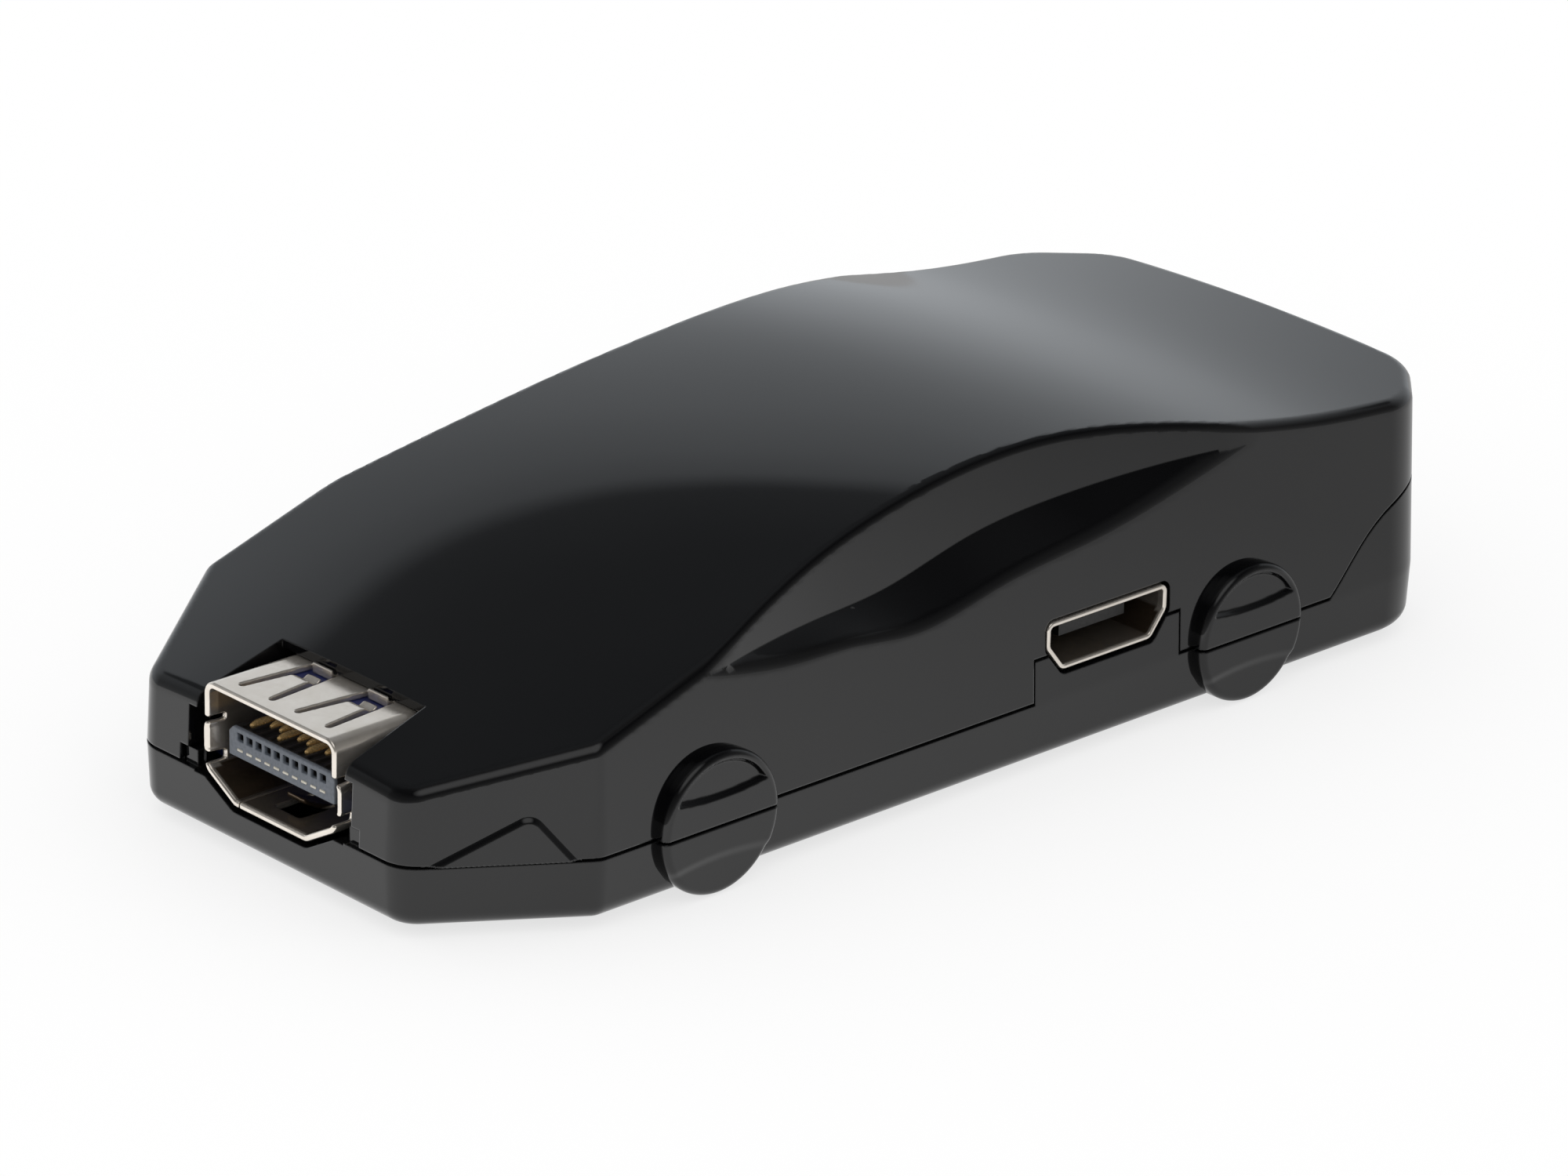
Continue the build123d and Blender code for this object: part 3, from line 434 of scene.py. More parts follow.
def vector_maths(tree, operation, vector, value=None):
    """A vector changed by an operation and, where it takes one, a fixed vector."""
    node = tree.nodes.new("ShaderNodeVectorMath")
    node.operation = operation
    tree.links.new(vector, node.inputs[0])
    if value is not None:
        node.inputs[1].default_value = value
    return node.outputs["Value" if operation == "DOT_PRODUCT" else "Vector"]


def parts_of(tree, vector):
    """Sockets of a vector's X, Y and Z."""
    node = tree.nodes.new("ShaderNodeSeparateXYZ")
    tree.links.new(vector, node.inputs[0])
    return node.outputs


def object_coordinates(tree, stretch=(1, 1, 1)):
    """Coordinates on the object itself, in millimetres."""
    place = tree.nodes.new("ShaderNodeTexCoord").outputs["Object"]
    return vector_maths(tree, "MULTIPLY", place, [1 / MM * value for value in stretch])


def noise(tree, vector, scale, detail):
    node = tree.nodes.new("ShaderNodeTexNoise")
    node.inputs["Scale"].default_value = scale
    node.inputs["Detail"].default_value = detail
    tree.links.new(vector, node.inputs["Vector"])
    return node.outputs["Fac"]


def spread(tree, value, low, high, start=0.3, end=0.7):
    """Maps a noise value onto a range."""
    node = tree.nodes.new("ShaderNodeMapRange")
    for label, number in (("From Min", start), ("From Max", end), ("To Min", low), ("To Max", high)):
        node.inputs[label].default_value = number
    tree.links.new(value, node.inputs["Value"])
    return node.outputs["Result"]


# Places of the two colours among the inputs of a mix node, and of its colour among the outputs
MIX_COLOURS = 6, 7
MIX_RESULT = 2


def mixed(tree, share, first, second):
    """Mix of two colours, each given as a socket, a colour or a grey level."""
    node = tree.nodes.new("ShaderNodeMix")
    node.data_type = "RGBA"
    tree.links.new(share, node.inputs[0])
    for place, colour in zip(MIX_COLOURS, (first, second)):
        if isinstance(colour, tuple):
            node.inputs[place].default_value = (*colour, 1)
        elif isinstance(colour, float):
            node.inputs[place].default_value = (colour, colour, colour, 1)
        else:
            tree.links.new(colour, node.inputs[place])
    return node.outputs[MIX_RESULT]


def bump(tree, shader, height, strength, distance, below=None):
    """Faint relief on a shader, whose distance is in millimetres."""
    node = tree.nodes.new("ShaderNodeBump")
    node.inputs["Strength"].default_value = strength
    node.inputs["Distance"].default_value = distance * MM
    tree.links.new(height, node.inputs["Height"])
    if below is not None:
        tree.links.new(below, node.inputs["Normal"])
    tree.links.new(node.outputs["Normal"], shader.inputs["Normal"])


def plain_finish(name, first, second, grain, rough, metal=0.0, depth=0.01, stretch=(1, 1, 1)):
    """Two close colours mixed by grain, with roughness and a faint relief from a finer grain."""
    material, tree, shader = new_material(name)
    place = object_coordinates(tree, stretch)
    coarse = noise(tree, place, grain, 4)
    fine = noise(tree, place, grain * 5, 2)
    tree.links.new(mixed(tree, spread(tree, coarse, 0, 1), first, second), shader.inputs["Base Color"])
    tree.links.new(spread(tree, fine, *rough), shader.inputs["Roughness"])
    shader.inputs["Metallic"].default_value = metal
    bump(tree, shader, fine, 0.4, depth)
    return material


HOUSING_BLACKS = (0.0022, 0.0023, 0.0028), (0.0034, 0.0034, 0.0038)
HOUSING_GLOSS = 0.035, 0.06
EDGE_SOFT = 0.09


def housing_finish():
    """Glossy black moulded plastic: faint ripple, finely uneven gloss and softened edges."""
    material, tree, shader = new_material("housing_black")
    place = object_coordinates(tree)
    broad = noise(tree, place, 0.12, 2)
    fine = noise(tree, place, 9.0, 3)
    tree.links.new(mixed(tree, spread(tree, broad, 0, 1), *HOUSING_BLACKS), shader.inputs["Base Color"])
    tree.links.new(spread(tree, fine, *HOUSING_GLOSS), shader.inputs["Roughness"])
    shader.inputs["IOR"].default_value = 1.5
    edge = tree.nodes.new("ShaderNodeBevel")
    edge.samples = 4
    edge.inputs["Radius"].default_value = EDGE_SOFT * MM
    bump(tree, shader, broad, 0.25, 0.02, edge.outputs["Normal"])
    return material


def deep_inside(tree, place, low, high, soft):
    """1 inside a box given in millimetres from the nose, falling to 0 at its faces."""
    low, high = np.array(low, float), np.array(high, float)
    place = vector_maths(tree, "SUBTRACT", place, (low + high) / 2 + np.array([NOSE, 0, 0]))
    place = vector_maths(tree, "ABSOLUTE", place)
    outside = parts_of(tree, vector_maths(tree, "SUBTRACT", place, (high - low) / 2))
    most = maths(tree, "MAXIMUM", maths(tree, "MAXIMUM", outside["X"], outside["Y"]), outside["Z"])
    return spread(tree, most, 1, 0, -soft, 0)


SOCKET_NICKELS = (0.86, 0.80, 0.73), (0.79, 0.73, 0.65)
# Dim brown painted as shade inside the sockets' tubes
SOCKET_SHADE = (0.13, 0.095, 0.065)
TUBE_SOFT = 0.12
LIP_SOFT = 0.08


def socket_finish(name, tube, lip):
    """Bright warm nickel with painted shade, a dim brown, in two boxes: the socket's tube and the one behind
    its lip.
    """
    material, tree, shader = new_material(name)
    place = object_coordinates(tree)
    coarse = noise(tree, place, 0.9, 4)
    fine = noise(tree, place, 4.5, 2)
    bright = mixed(tree, spread(tree, coarse, 0, 1), *SOCKET_NICKELS)
    # Painted shade: inside the tube and behind the lip the nickel is mixed to the dim brown of SOCKET_SHADE
    in_tube, in_lip = deep_inside(tree, place, *tube, TUBE_SOFT), deep_inside(tree, place, *lip, LIP_SOFT)
    dim = maths(tree, "MAXIMUM", in_tube, in_lip)
    tree.links.new(mixed(tree, dim, bright, SOCKET_SHADE), shader.inputs["Base Color"])
    tree.links.new(spread(tree, fine, 0.2, 0.27), shader.inputs["Roughness"])
    shader.inputs["Metallic"].default_value = 0.85
    bump(tree, shader, fine, 0.2, 0.0008)
    return material


TONGUE_FRONT = 0.75
TONGUE_FACE = 0.14
TONGUE_FADE = 0.06
TONGUE_GREYS = (0.13, 0.15, 0.18), (0.2, 0.22, 0.255)
TONGUE_BLACK = (0.012, 0.011, 0.011)


def tongue_finish():
    """Resin that is blue grey on its front face and black behind it."""
    material, tree, shader = new_material("tongue_resin")
    place = object_coordinates(tree)
    front = NOSE + TONGUE_FRONT + TONGUE_FACE
    share = spread(tree, parts_of(tree, place)["X"], 0, 1, front, front + TONGUE_FADE)
    fine = noise(tree, place, 6.0, 3)
    grey = mixed(tree, spread(tree, fine, 0, 1), *TONGUE_GREYS)
    tree.links.new(mixed(tree, share, grey, TONGUE_BLACK), shader.inputs["Base Color"])
    tree.links.new(spread(tree, fine, 0.35, 0.5), shader.inputs["Roughness"])
    bump(tree, shader, fine, 0.3, 0.004)
    return material


# By slot: name, two colours, grain, range of roughness, and where they differ metal, relief and stretch
PLAIN_FINISHES = {
    "blue_block": ("blue_block", (0.008, 0.012, 0.06), (0.012, 0.02, 0.11), 1.5, (0.3, 0.45)),
    "pale_contact": ("pale_contact", (0.80, 0.76, 0.66), (0.7, 0.66, 0.56), 2.0, (0.3, 0.45), 0.4, 0.001),
    "board_laminate": ("board_blue", (0.006, 0.012, 0.055), (0.01, 0.02, 0.085), 0.8, (0.3, 0.5)),
    "socket_nickel": ("warm_nickel", (0.86, 0.80, 0.73), (0.78, 0.72, 0.64), 0.9, (0.2, 0.27), 0.85, 0.0005,
                      (1, 1, 6)),
    "grey_insulator": ("grey_resin", (0.10, 0.115, 0.135), (0.13, 0.145, 0.165), 2.0, (0.4, 0.55)),
    "black_insulator": ("black_resin", (0.006, 0.006, 0.006), (0.012, 0.011, 0.010), 2.0, (0.35, 0.5)),
    "contact_gold": ("gold_plate", (0.86, 0.60, 0.27), (0.76, 0.52, 0.23), 2.0, (0.2, 0.32), 0.7, 0.0002),
    "chip_resin": ("chip_black", (0.012, 0.012, 0.013), (0.02, 0.02, 0.021), 3.0, (0.45, 0.6)),
    "solder_tin": ("tin", (0.62, 0.62, 0.6), (0.5, 0.5, 0.49), 3.0, (0.28, 0.42), 1.0, 0.006),
    "crystal_lid": ("lid_metal", (0.7, 0.68, 0.62), (0.6, 0.58, 0.54), 2.0, (0.25, 0.35), 1.0, 0.004),
    "ferrite": ("ferrite_grey", (0.03, 0.03, 0.032), (0.055, 0.053, 0.05), 4.0, (0.55, 0.7)),
    "capacitor_ceramic": ("ceramic_tan", (0.24, 0.15, 0.08), (0.30, 0.2, 0.11), 4.0, (0.4, 0.55)),
    "fuse_ceramic": ("ceramic_green", (0.05, 0.16, 0.1), (0.07, 0.2, 0.13), 4.0, (0.4, 0.55)),
    "resistor_film": ("film_black", (0.015, 0.015, 0.016), (0.03, 0.03, 0.03), 4.0, (0.35, 0.5)),
}
# Two boxes per socket, by their lowest and highest corners, where the nickel gets painted shade: its tube,
# and the tube behind its lip
SOCKET_FINISHES = {
    "mini_nickel_painted_shade": (((0.62, -4.06, 2.56), (9, 4.06, 7.22)), ((0.26, -3.9, 2.56), (9, 3.9, 7.22))),
    "power_nickel_painted_shade": (((32.66, -12.55, 4.53), (39.64, -5, 6.57)), ((32.82, -12.75, 4.53), (39.48, -5, 6.57))),
}
finishes = {slot: plain_finish(*look) for slot, look in PLAIN_FINISHES.items()}
finishes |= {name: socket_finish(name, *boxes) for name, boxes in SOCKET_FINISHES.items()}
finishes["housing_plastic"] = housing_finish()
finishes["tongue_resin"] = tongue_finish()
for name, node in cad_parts.items():
    for slot in node.material_slots:
        slot.material = finishes[slot.material.name.split(".")[0]]


def cast(name, field, low, high, cell, slot, *nodes, finish=None):
    """Solid piece on the zero surface of a field, with the field's own normals."""
    points, faces, _ = net_of(field, low, high, cell)
    piece = new_object(name, points, faces)
    facing_out(piece.data)
    piece.data.shade_smooth()
    piece.data.normals_split_custom_set_from_vertices(unit(gradient(field, points)).tolist())
    piece.data.materials.append(finishes[finish or slot])
    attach(piece, "root")
    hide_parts(*nodes)
    return piece


def brick(u, v, w, low, high, radius=0.0):
    """Distance outside a block between two corners, its edges rounded."""
    sides = [np.maximum(a - value, value - b) + radius for value, a, b in zip((u, v, w), low, high)]
    outside = np.sqrt(sum(np.maximum(side, 0) ** 2 for side in sides))
    return outside + np.minimum(np.maximum(np.maximum(sides[0], sides[1]), sides[2]), 0) - radius


def capsule(u, v, start, end, start_radius, end_radius):
    """Distance outside a flat slot with round ends, which may widen along its length."""
    run = np.array(end) - np.array(start)
    share = np.clip(((u - start[0]) * run[0] + (v - start[1]) * run[1]) / (run @ run), 0, 1)
    reach = np.hypot(u - start[0] - share * run[0], v - start[1] - share * run[1])
    return reach - start_radius - share * (end_radius - start_radius)


def outline_of(u, v, size, inset):
    """Distance outside a socket's mouth outline, whose lower corners are cut off."""
    half, high, cut_run, cut_rise, bend, low_bend = size
    bend, low_bend = max(bend - inset, 0.06), max(low_bend - inset, 0.06)
    slope = math.hypot(cut_run, cut_rise)
    slant = (cut_rise * (u - half) + cut_run * (cut_rise - high - v)) / slope + inset
    outline = round_max(u - half + inset, v - high + inset, bend)
    outline = round_max(outline, slant, low_bend, cut_rise / slope)
    return round_max(outline, -v - high + inset, low_bend, cut_run / slope)


# A spring finger: how its slits widen, and how it dips, by a ridge before its tip and a lower tip
FAR_OFF = 9.0
SLIT_FLARE = 0.72
SLIT_ROUND = 0.07
WINDOW_ROUND = 0.08
RIDGE_BACK, RIDGE_RUN = 0.36, 0.28
TIP_RUN, TIP_SHARE = 0.5, 0.35


def spring_fingers(t, u, fingers, drop):
    """Slots around the spring fingers of a sheet, and how far the sheet dips at each place."""
    cuts = np.full(np.broadcast(t, u).shape, FAR_OFF)
    dip = np.zeros(cuts.shape)
    for centre, root, tip, root_half, tip_half, slit, window in fingers:
        share = np.clip((t - root) / (tip - root), 0, 1)
        for side in (-1, 1):
            start, end = (root, centre + side * root_half), (tip + window, centre + side * tip_half)
            cuts = np.minimum(cuts, capsule(t, u, start, end, slit / 2, slit * SLIT_FLARE))
        low, high = (tip, centre - tip_half, -1), (tip + window, centre + tip_half, 1)
        cuts = np.minimum(cuts, brick(t, u, 0 * u, low, high, WINDOW_ROUND))
        own = np.abs(u - centre) < root_half + share * (tip_half - root_half)
        ridge = np.exp(-(((t - tip + RIDGE_BACK) / RIDGE_RUN) ** 2))
        end_dip = TIP_SHARE * np.clip((t - tip + TIP_RUN) / TIP_RUN, 0, 1)
        dip = np.where(own, drop * (ridge + end_dip), dip)
    return cuts, dip


def sheet_shell(t, u, v, size, sheet, depth, rim, fingers=(), drop=0.0):
    """Folded sheet tube of a socket, open at the mouth, with its spring fingers cut free."""
    cuts, dip = spring_fingers(t, u, fingers, drop) if fingers else (FAR_OFF, 0.0)
    level = np.where(v > 0, v + dip, v)
    tube = np.maximum(outline_of(np.abs(u), level, size, 0), -outline_of(np.abs(u), level, size, sheet))
    tube = round_max(tube, -t, rim)
    tube = np.maximum(tube, t - depth)
    if fingers:
        tube = round_max(tube, -np.maximum(cuts, size[1] / 2 - v), SLIT_ROUND)
    return tube


# Mini socket. Its size: half width, half height, run and rise of the cut corners, upper and lower bend.
# A finger: its middle, root, tip, half width at both, the width of its slits and the length of its window.
# Boxes are given by their lowest and highest corners from the mouth, the middle plane and the middle height.
MINI_MOUTH = 0.1
MINI_MIDDLE = 4.9
MINI_SIZE = (4.3, 2.575, 1.95, 1.1, 0.62, 0.6)
MINI_SHEET = 0.3
MINI_DEPTH = 5.1
MINI_RIM = 0.12
MINI_DROP = 0.26
MINI_FINGERS = [(side * 1.83, 0.92, 3.95, 0.99, 0.6, 0.33, 0.42) for side in (-1, 1)]
MINI_NOTCHES = [(0.6, 0.9), (-1.2, -0.78)]
MINI_NOTCH_DEPTH = 0.95
MINI_SEAM = ((-1, 1.98, -4), (MINI_DEPTH + 1, 2.06, -1.9))
LATCH_BULGE = 0.27
LATCH_RUN = 1.3
LATCH_BACK = 0.12
FLOOR_OPENING = ((0.95, -0.85, -4), (2.9, 0.85, -1.9))
FLOOR_TAB = ((1.3, -0.62, -1), (3.4, 0.62, 1))
FLOOR_TAB_ROOT = 3.0
FLOOR_TAB_RUN = 1.7
FLOOR_TAB_RISE = 0.75
FLOOR_TAB_HALF = 0.11
UPRIGHT_FACES = (4.3, 4.43)
UPRIGHT_LEVELS = (2.3, 2.76)
UPRIGHT_HALF = 0.62
WINGS = ((2.2, 4.1, 4.35), (3.7, 5.7, 4.65))
MINI_BOX = ((-0.15, -5.9, 2.1), (5.4, 5.9, 7.9))


def mini_shell(x, y, z):
    """Mini socket shell: spring fingers above, bulged latch tabs between notches, a seam and a floor tab."""
    t, v = x - MINI_MOUTH, z - MINI_MIDDLE
    tab_high, tab_low = (sum(notch) / 2 for notch in MINI_NOTCHES)
    tab = (v > tab_low) & (v < tab_high)
    middle = (v - (tab_low + tab_high) / 2) / (tab_high - tab_low) * 2
    bulge = LATCH_BULGE * np.clip(1 - t / LATCH_RUN, 0, 1) ** 1.5 * np.clip(1.25 - middle**2, 0, 1)
    wide = np.abs(y) - np.where(tab, bulge, 0)
    back = np.where(tab, LATCH_BACK, 0)
    shell = sheet_shell(t - back, np.sign(y) * wide, v, MINI_SIZE, MINI_SHEET, MINI_DEPTH - back, MINI_RIM,
                        MINI_FINGERS, drop=MINI_DROP)
    for low, high in MINI_NOTCHES:
        notch = brick(t, np.abs(y), v, (-1, 3.2, low), (MINI_NOTCH_DEPTH, 6, high), 0.1)
        shell = round_max(shell, -notch, 0.11)
    shell = round_max(shell, -brick(t, y, v, *MINI_SEAM), 0.05)
    # floor: an opening with a tab that rises from its back edge
    shell = round_max(shell, -brick(t, y, v, *FLOOR_OPENING, 0.2), 0.06)
    share = np.clip((FLOOR_TAB_ROOT - t) / FLOOR_TAB_RUN, 0, 1.2)
    strip = np.abs(v + MINI_SIZE[1] - MINI_SHEET / 2 - FLOOR_TAB_RISE * share**1.4) * 0.9 - FLOOR_TAB_HALF
    shell = np.minimum(shell, round_max(strip, brick(t, y, 0 * y, *FLOOR_TAB, 0.3), 0.08))
    # upright tabs behind the windows of the fingers
    for finger in MINI_FINGERS:
        corners = [(face, finger[0] * 0.99 + half, level)
                   for face, half, level in zip(UPRIGHT_FACES, (-UPRIGHT_HALF, UPRIGHT_HALF), UPRIGHT_LEVELS)]
        shell = np.minimum(shell, brick(t, y, v, *corners, 0.04))
    # wings onto the board
    return np.minimum(shell, brick(t, np.abs(y), z, *WINGS, 0.05))


MOUTH_GAP = 0.24
MOUTH_WEB = 1.45
RIM_MIDDLE = 0.4
RIM_HALF = 0.7
RIM_BELOW = 0.09
RIM_BOX = ((-0.6, -6.1, 0.4), (1.3, 6.1, 3.4))
RIM_CELL = 0.1


def nose_rim(x, y, z):
    """Part of the lower shell's front wall that follows the mini socket's outline."""
    inner, outer = (
        outline_of(np.abs(y), z - MINI_MIDDLE, MINI_SIZE, -width) for width in (MOUTH_GAP, MOUTH_WEB)
    )
    ring = np.maximum(np.maximum(-inner, outer), np.abs(x - RIM_MIDDLE) - RIM_HALF)
    return np.maximum(ring, z - PARTING_Z + RIM_BELOW)


points, faces, _ = net_of(nose_rim, *RIM_BOX, RIM_CELL)
rim = new_object("rim", points, faces)
facing_out(rim.data)
form = envelope()
shells = [dress("upper_shell", form), dress("lower_shell", form, rim)]
bpy.data.objects.remove(form)
for piece in shells:
    piece.data.materials.append(finishes["housing_plastic"])

# Moulded wheels, cut in two by a gap of SPLIT at the joint of the shells
SPLIT = 0.1
WHEEL_RADIUS = 3.25
WHEEL_FACE = FLANK_HALF + 0.55
WHEEL_ROOT = 12.4
WHEEL_ROUND = 0.32
WHEELS = {"front": 13.15, "rear": LENGTH - 14.4}
SPOKE_RIM_HALF = 1.5
SPOKE_MID_HALF = 1.15
UPPER_LENS = 0.24
UPPER_RAMP = 0.26
UPPER_LIP = 0.34
LOWER_LENS = 0.1
LOWER_RAMP = 0.5


def ease(share):
    """Soft step from 0 to 1."""
    share = np.clip(share, 0, 1)
    return share * share * (3 - 2 * share)


def wheel(x, y, z, centre):
    """Half-sunk wheel: a rounded rim, a sunk lens above its spoke band and a faint one below."""
    along, up = x - centre, z - WHEEL_RADIUS
    reach = np.hypot(along, up)
    bow = SPOKE_MID_HALF + (SPOKE_RIM_HALF - SPOKE_MID_HALF) * (along / WHEEL_RADIUS) ** 2
    upper = np.minimum(up - bow, WHEEL_RADIUS - UPPER_LIP - reach)
    sunk = UPPER_LENS * ease(upper / UPPER_RAMP) + LOWER_LENS * ease((-up - bow) / LOWER_RAMP)
    disc = round_max(reach - WHEEL_RADIUS + SKIN, np.abs(y) - WHEEL_FACE + SKIN + sunk, WHEEL_ROUND)
    return np.maximum(disc, WHEEL_ROOT - np.abs(y))


# Lamp pads: places along the slanted corner from the nose, and heights above the joint
LAMP_START = 0.85
LAMP_PEAK = 5.5
LAMP_END = 7.5
LAMP_HEIGHT = 2.35
LAMP_PROUD = 0.17
LAMP_ROUND = 0.8
LAMP_RAMP = 0.32
LAMP_SINK = 0.012
LAMP_FOOT = 0.085
LAMP_ROOT = 0.5
LAMP_EDGE = 0.1


def lamp_pad(x, y, z):
    """Raised pad on a slanted nose corner, with a rounded peak."""
    slant = math.hypot(NOSE_RUN, FLANK_HALF - NOSE_HALF)
    run, rise = NOSE_RUN / slant, (FLANK_HALF - NOSE_HALF) / slant
    side = np.abs(y) - NOSE_HALF
    along, up = run * x + rise * side, z - PARTING_Z
    out = run * side - rise * x + LEAN * np.abs(up)
    first, second = LAMP_PEAK - LAMP_START, LAMP_END - LAMP_PEAK
    fronts = math.hypot(first, LAMP_HEIGHT), math.hypot(second, LAMP_HEIGHT)
    front = (up * first - (along - LAMP_START) * LAMP_HEIGHT) / fronts[0]
    behind = (up * second + (along - LAMP_END) * LAMP_HEIGHT) / fronts[1]
    cosine = (first * second - LAMP_HEIGHT**2) / (fronts[0] * fronts[1])
    inside = -round_max(front, behind, LAMP_ROUND, cosine)
    swell = LAMP_PROUD * ease(inside / LAMP_RAMP) - LAMP_SINK
    pad = np.maximum(out - swell + SKIN, -out - LAMP_ROOT)
    return np.maximum(pad, np.maximum(LAMP_FOOT - up, -inside - LAMP_EDGE))


HALVES = (("upper_shell", 1), ("lower_shell", -1))
SPLIT_ROUND = 0.04
MARGIN = 0.2
WHEEL_REACH = 3.5
WHEEL_CELL = 0.07
FINE_CELL = 0.06
for side, flank in ((-1, "right"), (1, "left")):
    near, far = sorted((side * (WHEEL_ROOT - MARGIN), side * (WHEEL_FACE + MARGIN)))
    for place, centre in WHEELS.items():
        for node, up in HALVES:
            if up > 0:
                bottom, top = PARTING_Z - SPLIT, 2 * WHEEL_RADIUS + MARGIN
            else:
                bottom, top = -MARGIN, PARTING_Z + SPLIT

            def half_wheel(x, y, z):
                return round_max(wheel(x, y, z, centre), SPLIT / 2 - up * (z - PARTING_Z), SPLIT_ROUND)

            cast(f"{place}_{flank}_wheel_{node[:5]}", half_wheel, (centre - WHEEL_REACH, near, bottom),
                 (centre + WHEEL_REACH, far, top), WHEEL_CELL, "housing_plastic", node)
    near, far = sorted((side * 8.2, side * 13.6))
    cast(f"{flank}_lamp_pad", lamp_pad, (0.0, near, 3.1), (7.4, far, 5.8), FINE_CELL,
         "housing_plastic", "upper_shell")

cast("mini_shell", mini_shell, *MINI_BOX, FINE_CELL, "socket_nickel", "mini_socket_shell",
     finish="mini_nickel_painted_shade")

POWER_STATION = 36.15
POWER_MOUTH = -12.88
POWER_MIDDLE = 5.55
POWER_SIZE = (3.675, 1.2, 0.95, 1.2, 0.42, 0.5)
POWER_SHEET = 0.24
POWER_DEPTH = 5.3
POWER_RIM = 0.1
POWER_LEGS = ((2.8, 3.42, 3.4), (3.6, 3.66, 5.4))
POWER_BOX = ((32.2, -13.1, 3.2), (40.1, -7.3, 7.0))


def power_shell(x, y, z):
    """Power socket shell: a small folded tube with two legs into the board."""
    t, u, v = y - POWER_MOUTH, x - POWER_STATION, z - POWER_MIDDLE
    shell = sheet_shell(t, u, v, POWER_SIZE, POWER_SHEET, POWER_DEPTH, POWER_RIM)
    return np.minimum(shell, brick(t, np.abs(u), z, *POWER_LEGS, 0.05))


cast("power_shell", power_shell, *POWER_BOX, FINE_CELL, "socket_nickel", "power_socket_shell",
     finish="power_nickel_painted_shade")

TONGUE_MIDDLE = 4.86
TONGUE_HALF = 3.45
TONGUE_HIGH = 0.68
TONGUE_BEVEL = 0.26
TONGUE_BACK = 3.6
PIN_PLACES = [(i - 4.5) * 0.6 for i in range(10)]
PIN_HALF = 0.2
PIN_LEVEL = 5.53
PIN_END = 6.1
LONG_PIN_START = 1.3
SHORT_PIN_START = 1.88
DASH_HALF = 0.18
BACK_HALF = 0.1
FOOT_FACES = (5.96, 6.85)
BOARD_TOP = 4.36
BLOCK_FACES = (3.3, 5.85)
# Boxes and cells that these pieces are meshed in
TONGUE_BOX = ((0.6, -3.6, 4.2), (3.8, 3.6, 5.8))
BLOCK_BOX = ((3.2, -4.2, 2.4), (6.2, 4.2, 7.4))
UPPER_PIN_BOX = ((1.1, -3.1, 4.2), (7.0, 3.1, 5.9))
LOWER_PIN_BOX = ((0.6, -3.1, 4.2), (7.0, 3.1, 4.8))
TONGUE_CELL = 0.05
BLOCK_CELL = 0.12
PIN_CELL = 0.045


def mini_tongue(x, y, z):
    """Tongue with bevelled front corners, a row of pockets, and grooves for the contacts on top."""
    v = z - TONGUE_MIDDLE
    tongue = np.maximum(np.abs(y) - TONGUE_HALF, np.abs(v) - TONGUE_HIGH)
    corner = (np.abs(y) + v - TONGUE_HALF - TONGUE_HIGH + TONGUE_BEVEL) / math.sqrt(2)
    tongue = round_max(tongue, corner, 0.06, math.sqrt(0.5))
    tongue = round_max(tongue, TONGUE_FRONT - x, 0.05)
    tongue = np.maximum(tongue, x - TONGUE_BACK)
    for place in PIN_PLACES:
        low, high = place - PIN_HALF, place + PIN_HALF
        pocket = brick(x, y, z, (0.5, low, 4.96), (TONGUE_FRONT + 0.4, high, 5.32), 0.04)
        tongue = round_max(tongue, -pocket, 0.03)
        groove = brick(x, y, z, (LONG_PIN_START - 0.25, low, 5.43), (4, high, 6), 0.05)
        tongue = round_max(tongue, -groove, 0.04)
    return tongue


def mini_block(x, y, z):
    """Block at the back of the mini socket."""
    t, v = x - MINI_MOUTH, z - MINI_MIDDLE
    filling = outline_of(np.abs(y), v, MINI_SIZE, MINI_SHEET)
    return round_max(round_max(filling, BLOCK_FACES[0] - t, 0.1), t - BLOCK_FACES[1], 0.1)


def pin_foot(x, y, z, place, top):
    """Foot of a contact on the board."""
    low, high = (FOOT_FACES[0], place - BACK_HALF, BOARD_TOP), (FOOT_FACES[1], place + BACK_HALF, top)
    return brick(x, y, z, low, high, 0.03)


def mini_pins(x, y, z):
    """Pointed contacts on the tongue, down behind the block and onto the board."""
    pins = np.full(np.broadcast(x, y, z).shape, FAR_OFF)
    for i, place in enumerate(PIN_PLACES):
        start = SHORT_PIN_START if i % 3 else LONG_PIN_START
        run = np.maximum(x - start, 0)
        half = 0.05 + 0.15 * np.sqrt(np.minimum(run / 0.55, 1))
        high = 0.04 + 0.16 * np.sqrt(np.minimum(run / 0.35, 1))
        round_bar = (np.hypot((y - place) / half, (z - PIN_LEVEL) / high) - 1) * np.minimum(half, high)
        bar = np.maximum(np.maximum(round_bar, start - x), x - PIN_END)
        back = brick(x, y, z, (FOOT_FACES[0], place - BACK_HALF, BOARD_TOP),
                     (PIN_END, place + BACK_HALF, 5.6), 0.03)
        pins = np.minimum(pins, np.minimum(bar, np.minimum(back, pin_foot(x, y, z, place, 4.5))))
    return pins


def mini_low_pins(x, y, z):
    """Contacts under the tongue, whose ends show as pale dashes on its front."""
    pins = np.full(np.broadcast(x, y, z).shape, FAR_OFF)
    for place in PIN_PLACES:
        dash = brick(x, y, z, (TONGUE_FRONT - 0.04, place - DASH_HALF, 4.51),
                     (FOOT_FACES[1], place + DASH_HALF, 4.63), 0.03)
        pins = np.minimum(pins, np.minimum(dash, pin_foot(x, y, z, place, 4.52)))
    return pins


